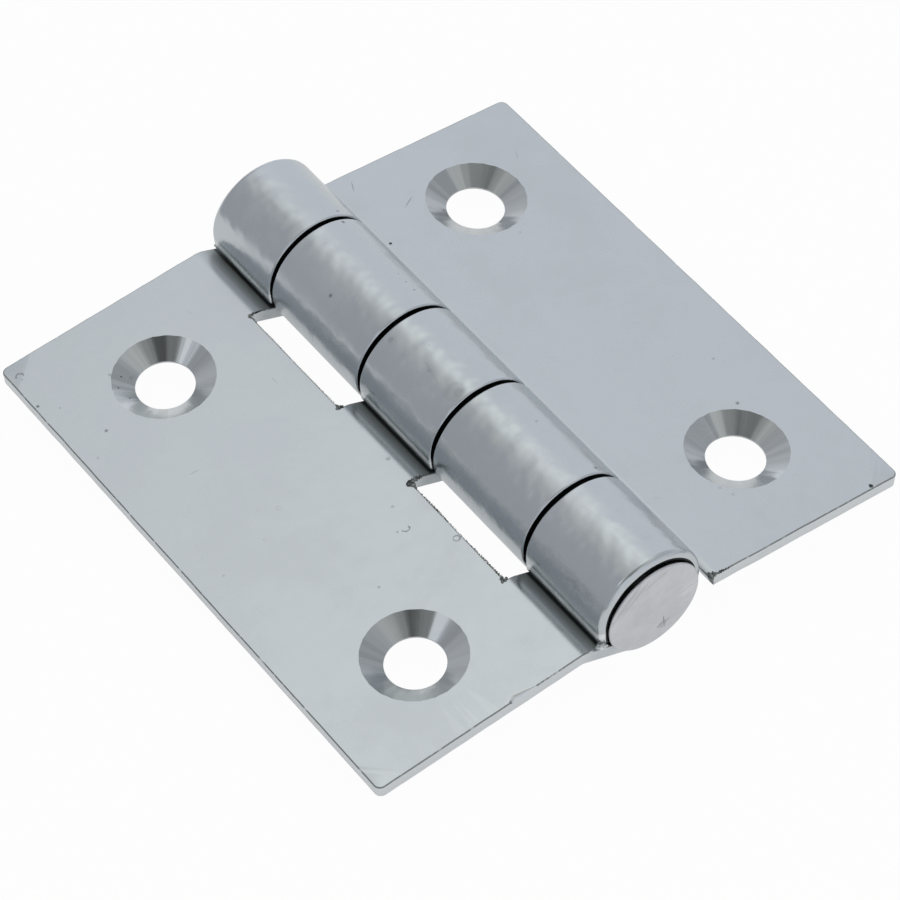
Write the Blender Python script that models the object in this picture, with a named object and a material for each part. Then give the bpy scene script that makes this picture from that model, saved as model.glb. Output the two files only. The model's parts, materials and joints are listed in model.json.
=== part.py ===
"""Butt hinge of pressed, zinc plated steel, lying open on its rolled knuckles.

The hinge is three pieces. Each leaf is one sheet: a stamped blank whose
fingers are cranked down beside the plate, rolled round the pin and closed
with a straight tail that comes down on the sheet again. The wide leaf has
three knuckles, at both ends and in the middle. The narrow leaf has two,
between them. The pin is staked into the end knuckles of the wide leaf.

Units are metres and degrees. +Z is up, and the pin lies along Y. A leaf is
drawn in its own section: u runs from the pin's axis out along the plate, and
w runs up from the axis, square to the plate.
"""

import math

import bmesh
import bpy

MM = 0.001

# Driving dimensions of the whole hinge
HINGE_LENGTH = 50.0 * MM
WIDE_LEAF_REACH = 25.1 * MM
NARROW_LEAF_REACH = 24.5 * MM
SHEET_THICKNESS = 1.2 * MM
WIDE_LEAF_DROOP = 3.9
NARROW_LEAF_DROOP = 4.65

# Pin, which the knuckles are rolled round
PIN_RADIUS = 3.3 * MM
PIN_CLEARANCE = 0.3 * MM
PIN_PROUD = 0.3 * MM
PIN_EDGE = 0.2 * MM
STAKE_FLARE = 0.35 * MM

# Rolled knuckles, counted from the far end, with the last one taking the rest
FIRST_KNUCKLE = 8.0 * MM
SECOND_KNUCKLE = 11.35 * MM
THIRD_KNUCKLE = 9.15 * MM
FOURTH_KNUCKLE = 11.25 * MM
KNUCKLE_GAP = 0.3 * MM
TAIL_GAP = 0.3 * MM

# Crank between the flat plate and the roll
PLATE_DROP = 1.0 * MM
ROOT_SLOPE = 26.0
BEND_RADIUS = 0.9 * MM

# Blank: the notches pass the other leaf's knuckles
WIDE_NOTCH_CLEARANCE = 1.95 * MM
NARROW_NOTCH_CLEARANCE = 1.25 * MM
CORNER_RADIUS = 0.6 * MM

# Screw holes, each at a distance from the plate's outer edge and from its end
HOLE_DIAMETER = 4.75 * MM
COUNTERSINK_DIAMETER = 8.3 * MM
HOLE_LAND = 0.15 * MM
WIDE_FAR_HOLE = (9.6 * MM, 8.7 * MM)
WIDE_NEAR_HOLE = (9.1 * MM, 7.9 * MM)
NARROW_FAR_HOLE = (8.9 * MM, 8.1 * MM)
NARROW_NEAR_HOLE = (8.7 * MM, 9.0 * MM)

# How finely round forms are divided
ROLL_STEP = 7.5
CORNER_STEP = 22.5
HOLE_SIDES = 40
PIN_SIDES = 48
SMOOTH_ANGLE = 32.0
CUTTER_OVERLAP = 2.0 * MM

# Zinc plate on steel
ZINC_COLOR = (0.58, 0.61, 0.64, 1.0)
ZINC_ROUGHNESS = 0.32
PIN_COLOR = (0.52, 0.55, 0.58, 1.0)
PIN_ROUGHNESS = 0.4

# Sizes that follow from the ones above
HALF_LENGTH = HINGE_LENGTH / 2
KNUCKLE_BORE = PIN_RADIUS + PIN_CLEARANCE
KNUCKLE_RADIUS = KNUCKLE_BORE + SHEET_THICKNESS


def remove_scene_objects():
    """Empty the scene, so that the script gives the same result each run."""
    for item in list(bpy.data.objects):
        bpy.data.objects.remove(item, do_unlink=True)


def knuckle_spans():
    """The five knuckles as (far end, near end) along Y, from the far end on."""
    spans = []
    far_end = HALF_LENGTH
    for length in (FIRST_KNUCKLE, SECOND_KNUCKLE, THIRD_KNUCKLE, FOURTH_KNUCKLE):
        spans.append((far_end, far_end - length))
        far_end -= length + KNUCKLE_GAP
    spans.append((far_end, -HALF_LENGTH))
    return spans


def reach_sideways(reach, droop):
    """How far a drooping leaf reaches from the pin's axis along X."""
    angle = math.radians(droop)
    return reach * math.cos(angle) - PLATE_DROP * math.sin(angle)


def reach_down(reach, droop):
    """How far the outer edge of a drooping leaf lies below the pin's axis."""
    angle = math.radians(droop)
    return reach * math.sin(angle) + (PLATE_DROP + SHEET_THICKNESS) * math.cos(angle)


def axis_place():
    """Where the pin's axis lies: over the middle of the base, standing on it."""
    wide = reach_sideways(WIDE_LEAF_REACH, WIDE_LEAF_DROOP)
    narrow = reach_sideways(NARROW_LEAF_REACH, NARROW_LEAF_DROOP)
    height = max(KNUCKLE_RADIUS,
                 reach_down(WIDE_LEAF_REACH, WIDE_LEAF_DROOP),
                 reach_down(NARROW_LEAF_REACH, NARROW_LEAF_DROOP))
    return ((wide - narrow) / 2, 0.0, height)


def arc(centre, radius, start, end, step):
    """Points on a circle from one angle to another in degrees, ends included."""
    count = max(1, math.ceil(abs(end - start) / step))
    points = []
    for index in range(count + 1):
        angle = math.radians(start + (end - start) * index / count)
        points.append((centre[0] + radius * math.cos(angle),
                       centre[1] + radius * math.sin(angle)))
    return points


def height_on_root(u, offset):
    """The height w at u on a line along the root, offset below the pin's axis."""
    slope = math.radians(ROOT_SLOPE)
    return (u * math.sin(slope) - offset) / math.cos(slope)


def rolled_section(reach):
    """The section of the sheet through a knuckle, as a closed list of (u, w).

    It runs in under the plate, down the crank, once round the roll, down the
    tail to its end face, and back along the sheet's other side. The tail's end
    lies along the root, which it almost touches.
    """
    slope = math.radians(ROOT_SLOPE)
    plate_under = PLATE_DROP + SHEET_THICKNESS
    bend_w = -plate_under - BEND_RADIUS
    bend_u = (KNUCKLE_RADIUS + BEND_RADIUS + bend_w * math.cos(slope)) / math.sin(slope)
    bend = (bend_u, bend_w)
    root_angle = ROOT_SLOPE - 90
    tail_angle = -360
    tail_offset = KNUCKLE_BORE - TAIL_GAP
    end = reach + CUTTER_OVERLAP

    section = [(end, -plate_under)]
    section += arc(bend, BEND_RADIUS, 90, 90 + ROOT_SLOPE, ROLL_STEP)
    section += arc((0, 0), KNUCKLE_RADIUS, root_angle, tail_angle, ROLL_STEP)
    section.append((KNUCKLE_RADIUS, height_on_root(KNUCKLE_RADIUS, tail_offset)))
    section.append((KNUCKLE_BORE, height_on_root(KNUCKLE_BORE, tail_offset)))
    section += arc((0, 0), KNUCKLE_BORE, tail_angle, root_angle, ROLL_STEP)
    section += arc(bend, BEND_RADIUS + SHEET_THICKNESS, 90 + ROOT_SLOPE, 90, ROLL_STEP)
    section.append((end, -PLATE_DROP))
    return section


def blank_outline(reach, notch, fingers):
    """The stamped blank seen from above, as a closed list of (u, y).

    The fingers run in past the roll, so that only the notches between them
    and the plate's own edges are cut.
    """
    past_roll = -KNUCKLE_RADIUS - CUTTER_OVERLAP
    near = (reach - CORNER_RADIUS, CORNER_RADIUS - HALF_LENGTH)
    far = (reach - CORNER_RADIUS, HALF_LENGTH - CORNER_RADIUS)
    outline = arc(near, CORNER_RADIUS, -90, 0, CORNER_STEP)
    outline += arc(far, CORNER_RADIUS, 0, 90, CORNER_STEP)
    if fingers[0][0] < HALF_LENGTH:
        outline.append((notch, HALF_LENGTH))
    for finger_far, finger_near in fingers:
        if finger_far < HALF_LENGTH:
            outline.append((notch, finger_far))
        outline.append((past_roll, finger_far))
        outline.append((past_roll, finger_near))
        if finger_near > -HALF_LENGTH:
            outline.append((notch, finger_near))
    if fingers[-1][1] > -HALF_LENGTH:
        outline.append((notch, -HALF_LENGTH))
    return outline


def link_mesh(name, mesh_builder):
    """Turn a bmesh into an object of the scene, with its faces pointing out."""
    bmesh.ops.recalc_face_normals(mesh_builder, faces=mesh_builder.faces)
    mesh = bpy.data.meshes.new(name)
    mesh_builder.to_mesh(mesh)
    mesh_builder.free()
    item = bpy.data.objects.new(name, mesh)
    bpy.context.collection.objects.link(item)
    return item


def extrude_outline(name, points, direction):
    """Draw a closed outline of 3D points and extrude it along a direction."""
    builder = bmesh.new()
    face = builder.faces.new([builder.verts.new(point) for point in points])
    result = bmesh.ops.extrude_face_region(builder, geom=[face])
    moved = [part for part in result["geom"] if isinstance(part, bmesh.types.BMVert)]
    bmesh.ops.translate(builder, verts=moved, vec=direction)
    return link_mesh(name, builder)


def turn_profiles(name, profiles, axis, sides):
    """Turn open (radius, height) profiles that start and end on an axis.

    Each profile comes with the place of its foot. They become separate closed
    bodies in one object, with the heights along the named axis.
    """
    builder = bmesh.new()
    for foot, profile in profiles:
        rings = []
        for radius, height in profile:
            count = 1 if radius == 0 else sides
            ring = []
            for index in range(count):
                angle = math.tau * index / sides
                across, along = radius * math.cos(angle), radius * math.sin(angle)
                if axis == "Y":
                    place = (foot[0] + across, foot[1] + height, foot[2] + along)
                else:
                    place = (foot[0] + across, foot[1] + along, foot[2] + height)
                ring.append(builder.verts.new(place))
            rings.append(ring)
        for lower, upper in zip(rings, rings[1:]):
            for index in range(sides):
                following = (index + 1) % sides
                corners = [lower[index % len(lower)], lower[following % len(lower)],
                           upper[following % len(upper)], upper[index % len(upper)]]
                builder.faces.new(list(dict.fromkeys(corners)))
    return link_mesh(name, builder)


def apply_boolean(item, cutter, operation):
    """Cut an object with another, keep the result and take the cutter away."""
    cutter.hide_render = True
    cutter.display_type = "WIRE"
    modifier = item.modifiers.new(cutter.name, "BOOLEAN")
    modifier.operation = operation
    modifier.solver = "EXACT"
    modifier.object = cutter
    graph = bpy.context.evaluated_depsgraph_get()
    result = bpy.data.meshes.new_from_object(item.evaluated_get(graph))
    item.modifiers.remove(modifier)
    old_mesh = item.data
    item.data = result
    result.name = item.name
    bpy.data.meshes.remove(old_mesh)
    bpy.data.objects.remove(cutter, do_unlink=True)


def countersink_cutter(reach, side, holes):
    """The screw holes of one leaf: a cone down to a short straight land."""
    hole_radius = HOLE_DIAMETER / 2
    sink_radius = COUNTERSINK_DIAMETER / 2
    cone_depth = SHEET_THICKNESS - HOLE_LAND
    widening = (sink_radius - hole_radius) / cone_depth
    top = CUTTER_OVERLAP
    profile = [(0, -SHEET_THICKNESS - CUTTER_OVERLAP),
               (hole_radius, -SHEET_THICKNESS - CUTTER_OVERLAP),
               (hole_radius, -cone_depth),
               (sink_radius + widening * top, top),
               (0, top)]
    feet = [(side * (reach - from_edge), end * (HALF_LENGTH - from_end), -PLATE_DROP)
            for end, (from_edge, from_end) in holes]
    return turn_profiles("screw_holes", [(foot, profile) for foot in feet], "Z", HOLE_SIDES)


def mouth_cutter():
    """The flared mouths of the two outer ends, where the pin is staked."""
    mouth = KNUCKLE_BORE + STAKE_FLARE
    profiles = []
    for end in (-1, 1):
        face = end * HALF_LENGTH
        profile = [(0, face + end * CUTTER_OVERLAP),
                   (mouth + CUTTER_OVERLAP, face + end * CUTTER_OVERLAP),
                   (KNUCKLE_BORE, face - end * STAKE_FLARE),
                   (0, face - end * STAKE_FLARE)]
        profiles.append(((0, 0, 0), profile))
    return turn_profiles("pin_mouths", profiles, "Y", PIN_SIDES)


def build_leaf(name, reach, side, notch_clearance, fingers, holes):
    """One leaf: a rolled strip, stamped to its blank, with its screw holes.

    side is -1 for the leaf that lies at -X and 1 for the one at +X. The
    object's origin is on the pin's axis.
    """
    longer_half = HALF_LENGTH + CUTTER_OVERLAP
    section = [(side * u, -longer_half, w) for u, w in rolled_section(reach)]
    leaf = extrude_outline(name, section, (0, 2 * longer_half, 0))

    tall = KNUCKLE_RADIUS + CUTTER_OVERLAP
    notch = KNUCKLE_RADIUS + notch_clearance
    outline = [(side * u, y, -tall) for u, y in blank_outline(reach, notch, fingers)]
    blank = extrude_outline("blank", outline, (0, 0, 2 * tall))
    apply_boolean(leaf, blank, "INTERSECT")
    apply_boolean(leaf, countersink_cutter(reach, side, holes), "DIFFERENCE")
    return leaf


def build_pin(name):
    """The pin, flared at both ends into the mouths of the end knuckles."""
    flare = PIN_RADIUS + STAKE_FLARE
    tip = HALF_LENGTH + PIN_PROUD
    half_profile = [(0, tip), (flare - PIN_EDGE, tip), (flare, tip - PIN_EDGE),
                    (flare, HALF_LENGTH), (PIN_RADIUS, HALF_LENGTH - STAKE_FLARE)]
    profile = [(radius, -height) for radius, height in half_profile]
    profile += reversed(half_profile)
    return turn_profiles(name, [((0, 0, 0), profile)], "Y", PIN_SIDES)


def seat_on_axis(item, turn):
    """Put a piece on the pin's axis, turned about it by some degrees."""
    item.location = axis_place()
    item.rotation_euler = (0, math.radians(turn), 0)


def add_finish(item, name, color, roughness):
    """Give an object its own metal, and smooth shading on its round faces."""
    material = bpy.data.materials.new(name)
    material.use_nodes = True
    shader = material.node_tree.nodes["Principled BSDF"]
    shader.inputs["Base Color"].default_value = color
    shader.inputs["Metallic"].default_value = 1.0
    shader.inputs["Roughness"].default_value = roughness
    item.data.materials.clear()
    item.data.materials.append(material)
    item.data.shade_smooth()
    item.data.set_sharp_from_angle(angle=math.radians(SMOOTH_ANGLE))


def main():
    """Build the three pieces of the hinge."""
    remove_scene_objects()
    spans = knuckle_spans()

    wide_leaf = build_leaf("leaf_three_knuckle", WIDE_LEAF_REACH, -1,
                           WIDE_NOTCH_CLEARANCE, spans[0::2],
                           ((1, WIDE_FAR_HOLE), (-1, WIDE_NEAR_HOLE)))
    apply_boolean(wide_leaf, mouth_cutter(), "DIFFERENCE")
    narrow_leaf = build_leaf("leaf_two_knuckle", NARROW_LEAF_REACH, 1,
                             NARROW_NOTCH_CLEARANCE, spans[1::2],
                             ((1, NARROW_FAR_HOLE), (-1, NARROW_NEAR_HOLE)))
    pin = build_pin("hinge_pin")
    seat_on_axis(wide_leaf, -WIDE_LEAF_DROOP)
    seat_on_axis(narrow_leaf, NARROW_LEAF_DROOP)
    seat_on_axis(pin, 0)

    add_finish(wide_leaf, "zinc_plate_wide_leaf", ZINC_COLOR, ZINC_ROUGHNESS)
    add_finish(narrow_leaf, "zinc_plate_narrow_leaf", ZINC_COLOR, ZINC_ROUGHNESS)
    add_finish(pin, "zinc_plate_pin", PIN_COLOR, PIN_ROUGHNESS)


main()
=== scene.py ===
"""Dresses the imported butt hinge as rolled, zinc plated steel and lights it.

Each leaf is drawn as the flat blank that the press cuts, with worn edges and
drilled countersinks, and is then rolled round the pin by Geometry Nodes. The
pin gets its staked head. Sizes are metres and angles are degrees.

In a leaf's section, u runs from the pin's axis out along the plate and w runs
up, square to the plate. On the flat blank, s runs along the sheet from the
start of the crank towards the tail of the roll, so the plate has s below
zero, y runs along the pin, and t runs up through the sheet from the side
that becomes the outside of the roll.
"""

import json
import logging
import math
import random
from dataclasses import dataclass, field
from enum import Enum
from typing import Union

import bmesh
import bpy
from mathutils import Matrix, Vector, noise
from mathutils.geometry import delaunay_2d_cdt


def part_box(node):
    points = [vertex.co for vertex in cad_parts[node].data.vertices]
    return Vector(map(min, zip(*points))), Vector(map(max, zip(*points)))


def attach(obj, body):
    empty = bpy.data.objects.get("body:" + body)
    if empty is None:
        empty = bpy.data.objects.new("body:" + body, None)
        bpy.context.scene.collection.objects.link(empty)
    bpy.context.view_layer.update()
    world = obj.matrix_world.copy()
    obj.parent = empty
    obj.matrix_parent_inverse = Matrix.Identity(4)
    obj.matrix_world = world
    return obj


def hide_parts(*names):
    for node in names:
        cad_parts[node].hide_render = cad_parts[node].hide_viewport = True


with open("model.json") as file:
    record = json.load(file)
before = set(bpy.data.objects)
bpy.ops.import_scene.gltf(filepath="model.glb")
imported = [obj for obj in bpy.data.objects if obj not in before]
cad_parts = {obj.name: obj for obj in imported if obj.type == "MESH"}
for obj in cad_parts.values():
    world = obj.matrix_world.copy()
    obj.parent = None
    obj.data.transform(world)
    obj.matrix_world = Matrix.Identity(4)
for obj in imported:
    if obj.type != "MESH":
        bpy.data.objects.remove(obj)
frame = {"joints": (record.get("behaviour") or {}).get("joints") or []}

LOG = logging.getLogger("hinge")
MM = 0.001
TINY = 1e-8
ROLL_CUT = 0.0
SINK_CUT = 0.5
EDGE_CUT = 1.0
BURR_CUT = 1.25
# Faces in painted shade: edge faces of the roll in the knuckle gaps and inside the mouths.
SHADE_CUT = 2.0
BARE_FROM = 0.75
BURRED_FROM = 1.1
# Where the cut value starts to take the painted shade.
SHADED_FROM = 1.5
SHARP_FROM = 26.0
SCRATCH_STRETCH = 12.0

Socket = bpy.types.NodeSocket
Feed = Union[float, int, tuple, bpy.types.NodeSocket, bpy.types.Material]
Point = tuple[float, float]
Color = tuple[float, float, float, float]


class Leaf(Enum):
    """The two leaves, by the side of the pin that each lies on."""

    WIDE = -1
    NARROW = 1


class MarkKind(Enum):
    """What a single mark on a plate looks like."""

    SPOT = "spot"
    RING = "ring"
    SCRATCH = "scratch"


class TreeWriter:
    """Adds nodes to one node tree in short calls."""

    def __init__(self, tree: bpy.types.NodeTree) -> None:
        """Keeps the tree.

        Args:
            tree: The node tree that the nodes go into.
        """
        self.tree = tree

    def feed(self, socket: Socket, value: Feed) -> None:
        """Links a socket to another or sets its own value.

        Args:
            socket: The input to feed.
            value: An output to link from, or a plain value.
        """
        if isinstance(value, bpy.types.NodeSocket):
            self.tree.links.new(value, socket)
        else:
            socket.default_value = value

    def add(self, kind: str, inputs: dict | None = None, **settings: object) -> bpy.types.Node:
        """Adds one node.

        Args:
            kind: The node's type name.
            inputs: Values or outputs, by the input's name or number.
            settings: The node's own options.

        Returns:
            The new node.
        """
        node = self.tree.nodes.new(kind)
        for key, value in settings.items():
            setattr(node, key, value)
        for key, value in (inputs or {}).items():
            self.feed(node.inputs[key], value)
        return node

    def math(self, operation: str, *values: Feed) -> Socket:
        """Adds a Math node.

        Args:
            operation: The Math node's operation.
            values: Its inputs in order.

        Returns:
            The node's value.
        """
        return self.add("ShaderNodeMath", dict(enumerate(values)), operation=operation).outputs[0]

    def vector(self, operation: str, *values: Feed) -> Socket:
        """Adds a Vector Math node whose result is a vector.

        Args:
            operation: The Vector Math node's operation.
            values: Its inputs in order.

        Returns:
            The node's vector.
        """
        node = self.add("ShaderNodeVectorMath", dict(enumerate(values)), operation=operation)
        return node.outputs["Vector"]

    def clamp(self, value: Feed, low: Feed, high: Feed) -> Socket:
        """Keeps a value between two others.

        Args:
            value: The value.
            low: Its least.
            high: Its most.

        Returns:
            The clamped value.
        """
        return self.add("ShaderNodeClamp", {"Value": value, "Min": low, "Max": high}).outputs[0]

    def ramp(self, value: Feed, start: Feed, end: Feed, low: Feed = 0.0,
             high: Feed = 1.0) -> Socket:
        """Turns a range of values smoothly into another.

        Args:
            value: The value that is mapped.
            start: Where the range starts.
            end: Where it ends.
            low: What comes out at the start.
            high: What comes out at the end.

        Returns:
            The mapped value.
        """
        inputs = {"Value": value, "From Min": start, "From Max": end, "To Min": low,
                  "To Max": high}
        return self.add("ShaderNodeMapRange", inputs,
                        interpolation_type="SMOOTHSTEP").outputs["Result"]

    def mix(self, share: Feed, first: Feed, second: Feed) -> Socket:
        """Mixes two colours.

        Args:
            share: How much of the second colour.
            first: The first colour.
            second: The second colour.

        Returns:
            The mixed colour.
        """
        node = self.add("ShaderNodeMix", data_type="RGBA")
        self.feed(node.inputs[0], share)
        self.feed(node.inputs[6], first)
        self.feed(node.inputs[7], second)
        return node.outputs[2]

    def noise(self, place: Feed, scale: Feed, detail: float, roughness: float = 0.5) -> Socket:
        """Adds a noise pattern.

        Args:
            place: Where the pattern is read.
            scale: Its scale, in turns a unit.
            detail: How many finer layers it has.
            roughness: How strong the finer layers are.

        Returns:
            The noise, from 0 to 1 round 0.5.
        """
        inputs = {"Vector": place, "Scale": scale, "Detail": detail, "Roughness": roughness}
        return self.add("ShaderNodeTexNoise", inputs).outputs[0]

    def scale(self, vector: Feed, factor: Feed) -> Socket:
        """Makes a vector longer or shorter.

        Args:
            vector: The vector.
            factor: How many times its length it gets.

        Returns:
            The new vector.
        """
        node = self.add("ShaderNodeVectorMath", {0: vector, "Scale": factor}, operation="SCALE")
        return node.outputs["Vector"]

    def split(self, vector: Feed) -> tuple[Socket, ...]:
        """Splits a vector into its parts.

        Args:
            vector: The vector.

        Returns:
            Its three parts.
        """
        return tuple(self.add("ShaderNodeSeparateXYZ", {0: vector}).outputs)

    def join(self, *parts: Feed) -> Socket:
        """Joins parts into a vector.

        Args:
            parts: The three parts.

        Returns:
            The vector.
        """
        return self.add("ShaderNodeCombineXYZ", dict(enumerate(parts))).outputs[0]

    def random_vector(self, low: Feed, high: Feed, seed: Feed) -> Socket:
        """Draws a vector at random for each element.

        Args:
            low: The least of each part.
            high: The most of each part.
            seed: The seed of the draw.

        Returns:
            The vector.
        """
        return self.add("FunctionNodeRandomValue", {0: low, 1: high, "Seed": seed},
                        data_type="FLOAT_VECTOR").outputs[0]

    def group(self, shared: bpy.types.NodeTree, inputs: dict[str, Feed]) -> bpy.types.Node:
        """Places a shared node group.

        Args:
            shared: The group's tree.
            inputs: Its inputs by name.

        Returns:
            The group node.
        """
        return self.add(shared.bl_idname.removesuffix("Tree") + "Group", inputs,
                        node_tree=shared)


def new_group(name: str, kind: str, inputs: dict[str, tuple[str, Feed]],
              outputs: dict[str, str]) -> tuple[bpy.types.NodeTree, TreeWriter, dict[str, Socket]]:
    """Starts a node group with named inputs and outputs.

    Args:
        name: The group's name.
        kind: The type of node tree.
        inputs: For each input, its socket type and default value, or None.
        outputs: For each output, its socket type.

    Returns:
        The tree, a writer for it, and the group's inputs as sockets by name.
    """
    tree = bpy.data.node_groups.new(name, kind)
    for label, (socket_type, default) in inputs.items():
        socket = tree.interface.new_socket(label, in_out="INPUT", socket_type=socket_type)
        if default is not None:
            socket.default_value = default
    for label, socket_type in outputs.items():
        tree.interface.new_socket(label, in_out="OUTPUT", socket_type=socket_type)
    writer = TreeWriter(tree)
    return tree, writer, dict(writer.add("NodeGroupInput").outputs.items())


def run_tree(name: str, tree: bpy.types.NodeTree, mesh: bpy.types.Mesh,
             inputs: dict[str, Feed]) -> bpy.types.Mesh:
    """Runs a Geometry Nodes tree on a mesh and gives the result as a plain mesh.

    Args:
        name: The name of the new mesh.
        tree: The tree to run.
        mesh: The mesh that it starts from.
        inputs: The tree's named inputs.

    Returns:
        The evaluated mesh.
    """
    item = bpy.data.objects.new(name, mesh)
    bpy.context.scene.collection.objects.link(item)
    modifier = item.modifiers.new(name, "NODES")
    modifier.node_group = tree
    for socket in tree.interface.items_tree:
        if socket.in_out == "INPUT" and socket.name in inputs:
            modifier[socket.identifier] = inputs[socket.name]
    return plain_mesh(item)


def plain_mesh(item: bpy.types.Object) -> bpy.types.Mesh:
    """Turns an object with modifiers into a plain mesh and removes the object.

    Args:
        item: The object.

    Returns:
        Its evaluated mesh.
    """
    name = item.name
    graph = bpy.context.evaluated_depsgraph_get()
    result = bpy.data.meshes.new_from_object(item.evaluated_get(graph))
    bpy.data.objects.remove(item, do_unlink=True)
    result.name = name
    return result


def show_piece(name: str, mesh: bpy.types.Mesh, body: str, slot: str,
               *nodes: str) -> bpy.types.Object:
    """Puts a finished mesh into the scene as a piece of the hinge.

    Args:
        name: The piece's name.
        mesh: Its mesh, in place.
        body: The body that it rides on.
        slot: The record's material slot; it is not used.
        nodes: The solids that it stands for.

    Returns:
        The new object.
    """
    item = bpy.data.objects.new(name, mesh)
    bpy.context.scene.collection.objects.link(item)
    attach(item, body)
    if nodes:
        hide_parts(*nodes)
    LOG.info("%s: %d faces on body %s", name, len(mesh.polygons), body)
    return item


def arc(centre: Point, radius: float, start: float, end: float, steps: int) -> list[Point]:
    """Points on a circle from one angle to another, both ends included.

    Args:
        centre: The circle's centre.
        radius: Its radius.
        start: The first angle.
        end: The last angle.
        steps: How many steps there are.

    Returns:
        The points in order.
    """
    angles = [math.radians(start + (end - start) * index / steps) for index in range(steps + 1)]
    return [(centre[0] + radius * math.cos(angle), centre[1] + radius * math.sin(angle))
            for angle in angles]


def spaced(start: float, end: float, step: float) -> list[float]:
    """Evenly spaced values from start up to, but without, end.

    Args:
        start: The first value.
        end: The value that they stop before.
        step: About how far apart they are.

    Returns:
        The values in order.
    """
    count = max(1, round(abs(end - start) / step))
    return [start + (end - start) * index / count for index in range(count)]


def quarter(steps: int) -> list[float]:
    """Angles from nothing to a quarter turn.

    Args:
        steps: How many steps there are.

    Returns:
        The angles in radians, both ends included.
    """
    return [math.pi / 2 * index / steps for index in range(steps + 1)]


def mitre(before: Point, here: Point, after: Point) -> Point:
    """Which way a corner of an anticlockwise outline moves as it shrinks.

    Args:
        before: The corner before it.
        here: The corner.
        after: The corner after it.

    Returns:
        The move for an inset of one.
    """
    normals = []
    for first, second in ((before, here), (here, after)):
        along = Vector((second[0] - first[0], second[1] - first[1])).normalized()
        normals.append(Vector((-along.y, along.x)))
    shared = (normals[0] + normals[1]) / (1 + normals[0].dot(normals[1]))
    return (shared.x, shared.y)


def encloses(rim: list[Vector], place: Vector) -> bool:
    """Whether a place lies inside a closed rim, seen from above.

    Args:
        rim: The rim's corners in order.
        place: The place.

    Returns:
        Whether it lies inside.
    """
    within = False
    for first, second in zip(rim, rim[1:] + rim[:1]):
        if (first.y > place.y) != (second.y > place.y):
            share = (place.y - first.y) / (second.y - first.y)
            if place.x < first.x + share * (second.x - first.x):
                within = not within
    return within


def filled(ring: list, pairs: list[tuple[int, int]], holes: list[list]) -> list[list]:
    """Divides the face inside a ring into triangles, round its holes.

    Args:
        ring: The corners of the ring.
        pairs: The corners of the ring that an edge must join.
        holes: The corners of each hole.

    Returns:
        The corners of each triangle.
    """
    corners = [*ring, *(corner for hole in holes for corner in hole)]
    edges = list(pairs)
    start = 0
    for loop in (ring, *holes):
        count = len(loop)
        edges += [(start + index, start + (index + 1) % count) for index in range(count)]
        start += count
    places = [corner.co.xy / MM for corner in corners]
    found = delaunay_2d_cdt(places, edges, [], 1, 1e-6)
    origins = [sources[0] for sources in found[3]]
    rims = [[corner.co.xy for corner in hole] for hole in holes]
    triangles = []
    for face in found[2]:
        trio = [corners[origins[index]] for index in face]
        middle = sum((corner.co.xy for corner in trio), Vector((0.0, 0.0))) / 3
        if not any(encloses(rim, middle) for rim in rims):
            triangles.append(trio)
    return triangles


def even_shading(mesh: bpy.types.Mesh) -> bpy.types.Mesh:
    """Turns a mesh's faces outwards and keeps its flat faces flat in shade.

    Args:
        mesh: The mesh, which is used up.

    Returns:
        The shaded mesh.
    """
    builder = bmesh.new()
    builder.from_mesh(mesh)
    bmesh.ops.recalc_face_normals(builder, faces=builder.faces)
    builder.to_mesh(mesh)
    builder.free()
    mesh.set_sharp_from_angle(angle=math.radians(SHARP_FROM))
    item = bpy.data.objects.new(mesh.name, mesh)
    bpy.context.scene.collection.objects.link(item)
    weighting = item.modifiers.new("even_shading", "WEIGHTED_NORMAL")
    weighting.keep_sharp = True
    return plain_mesh(item)


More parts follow.
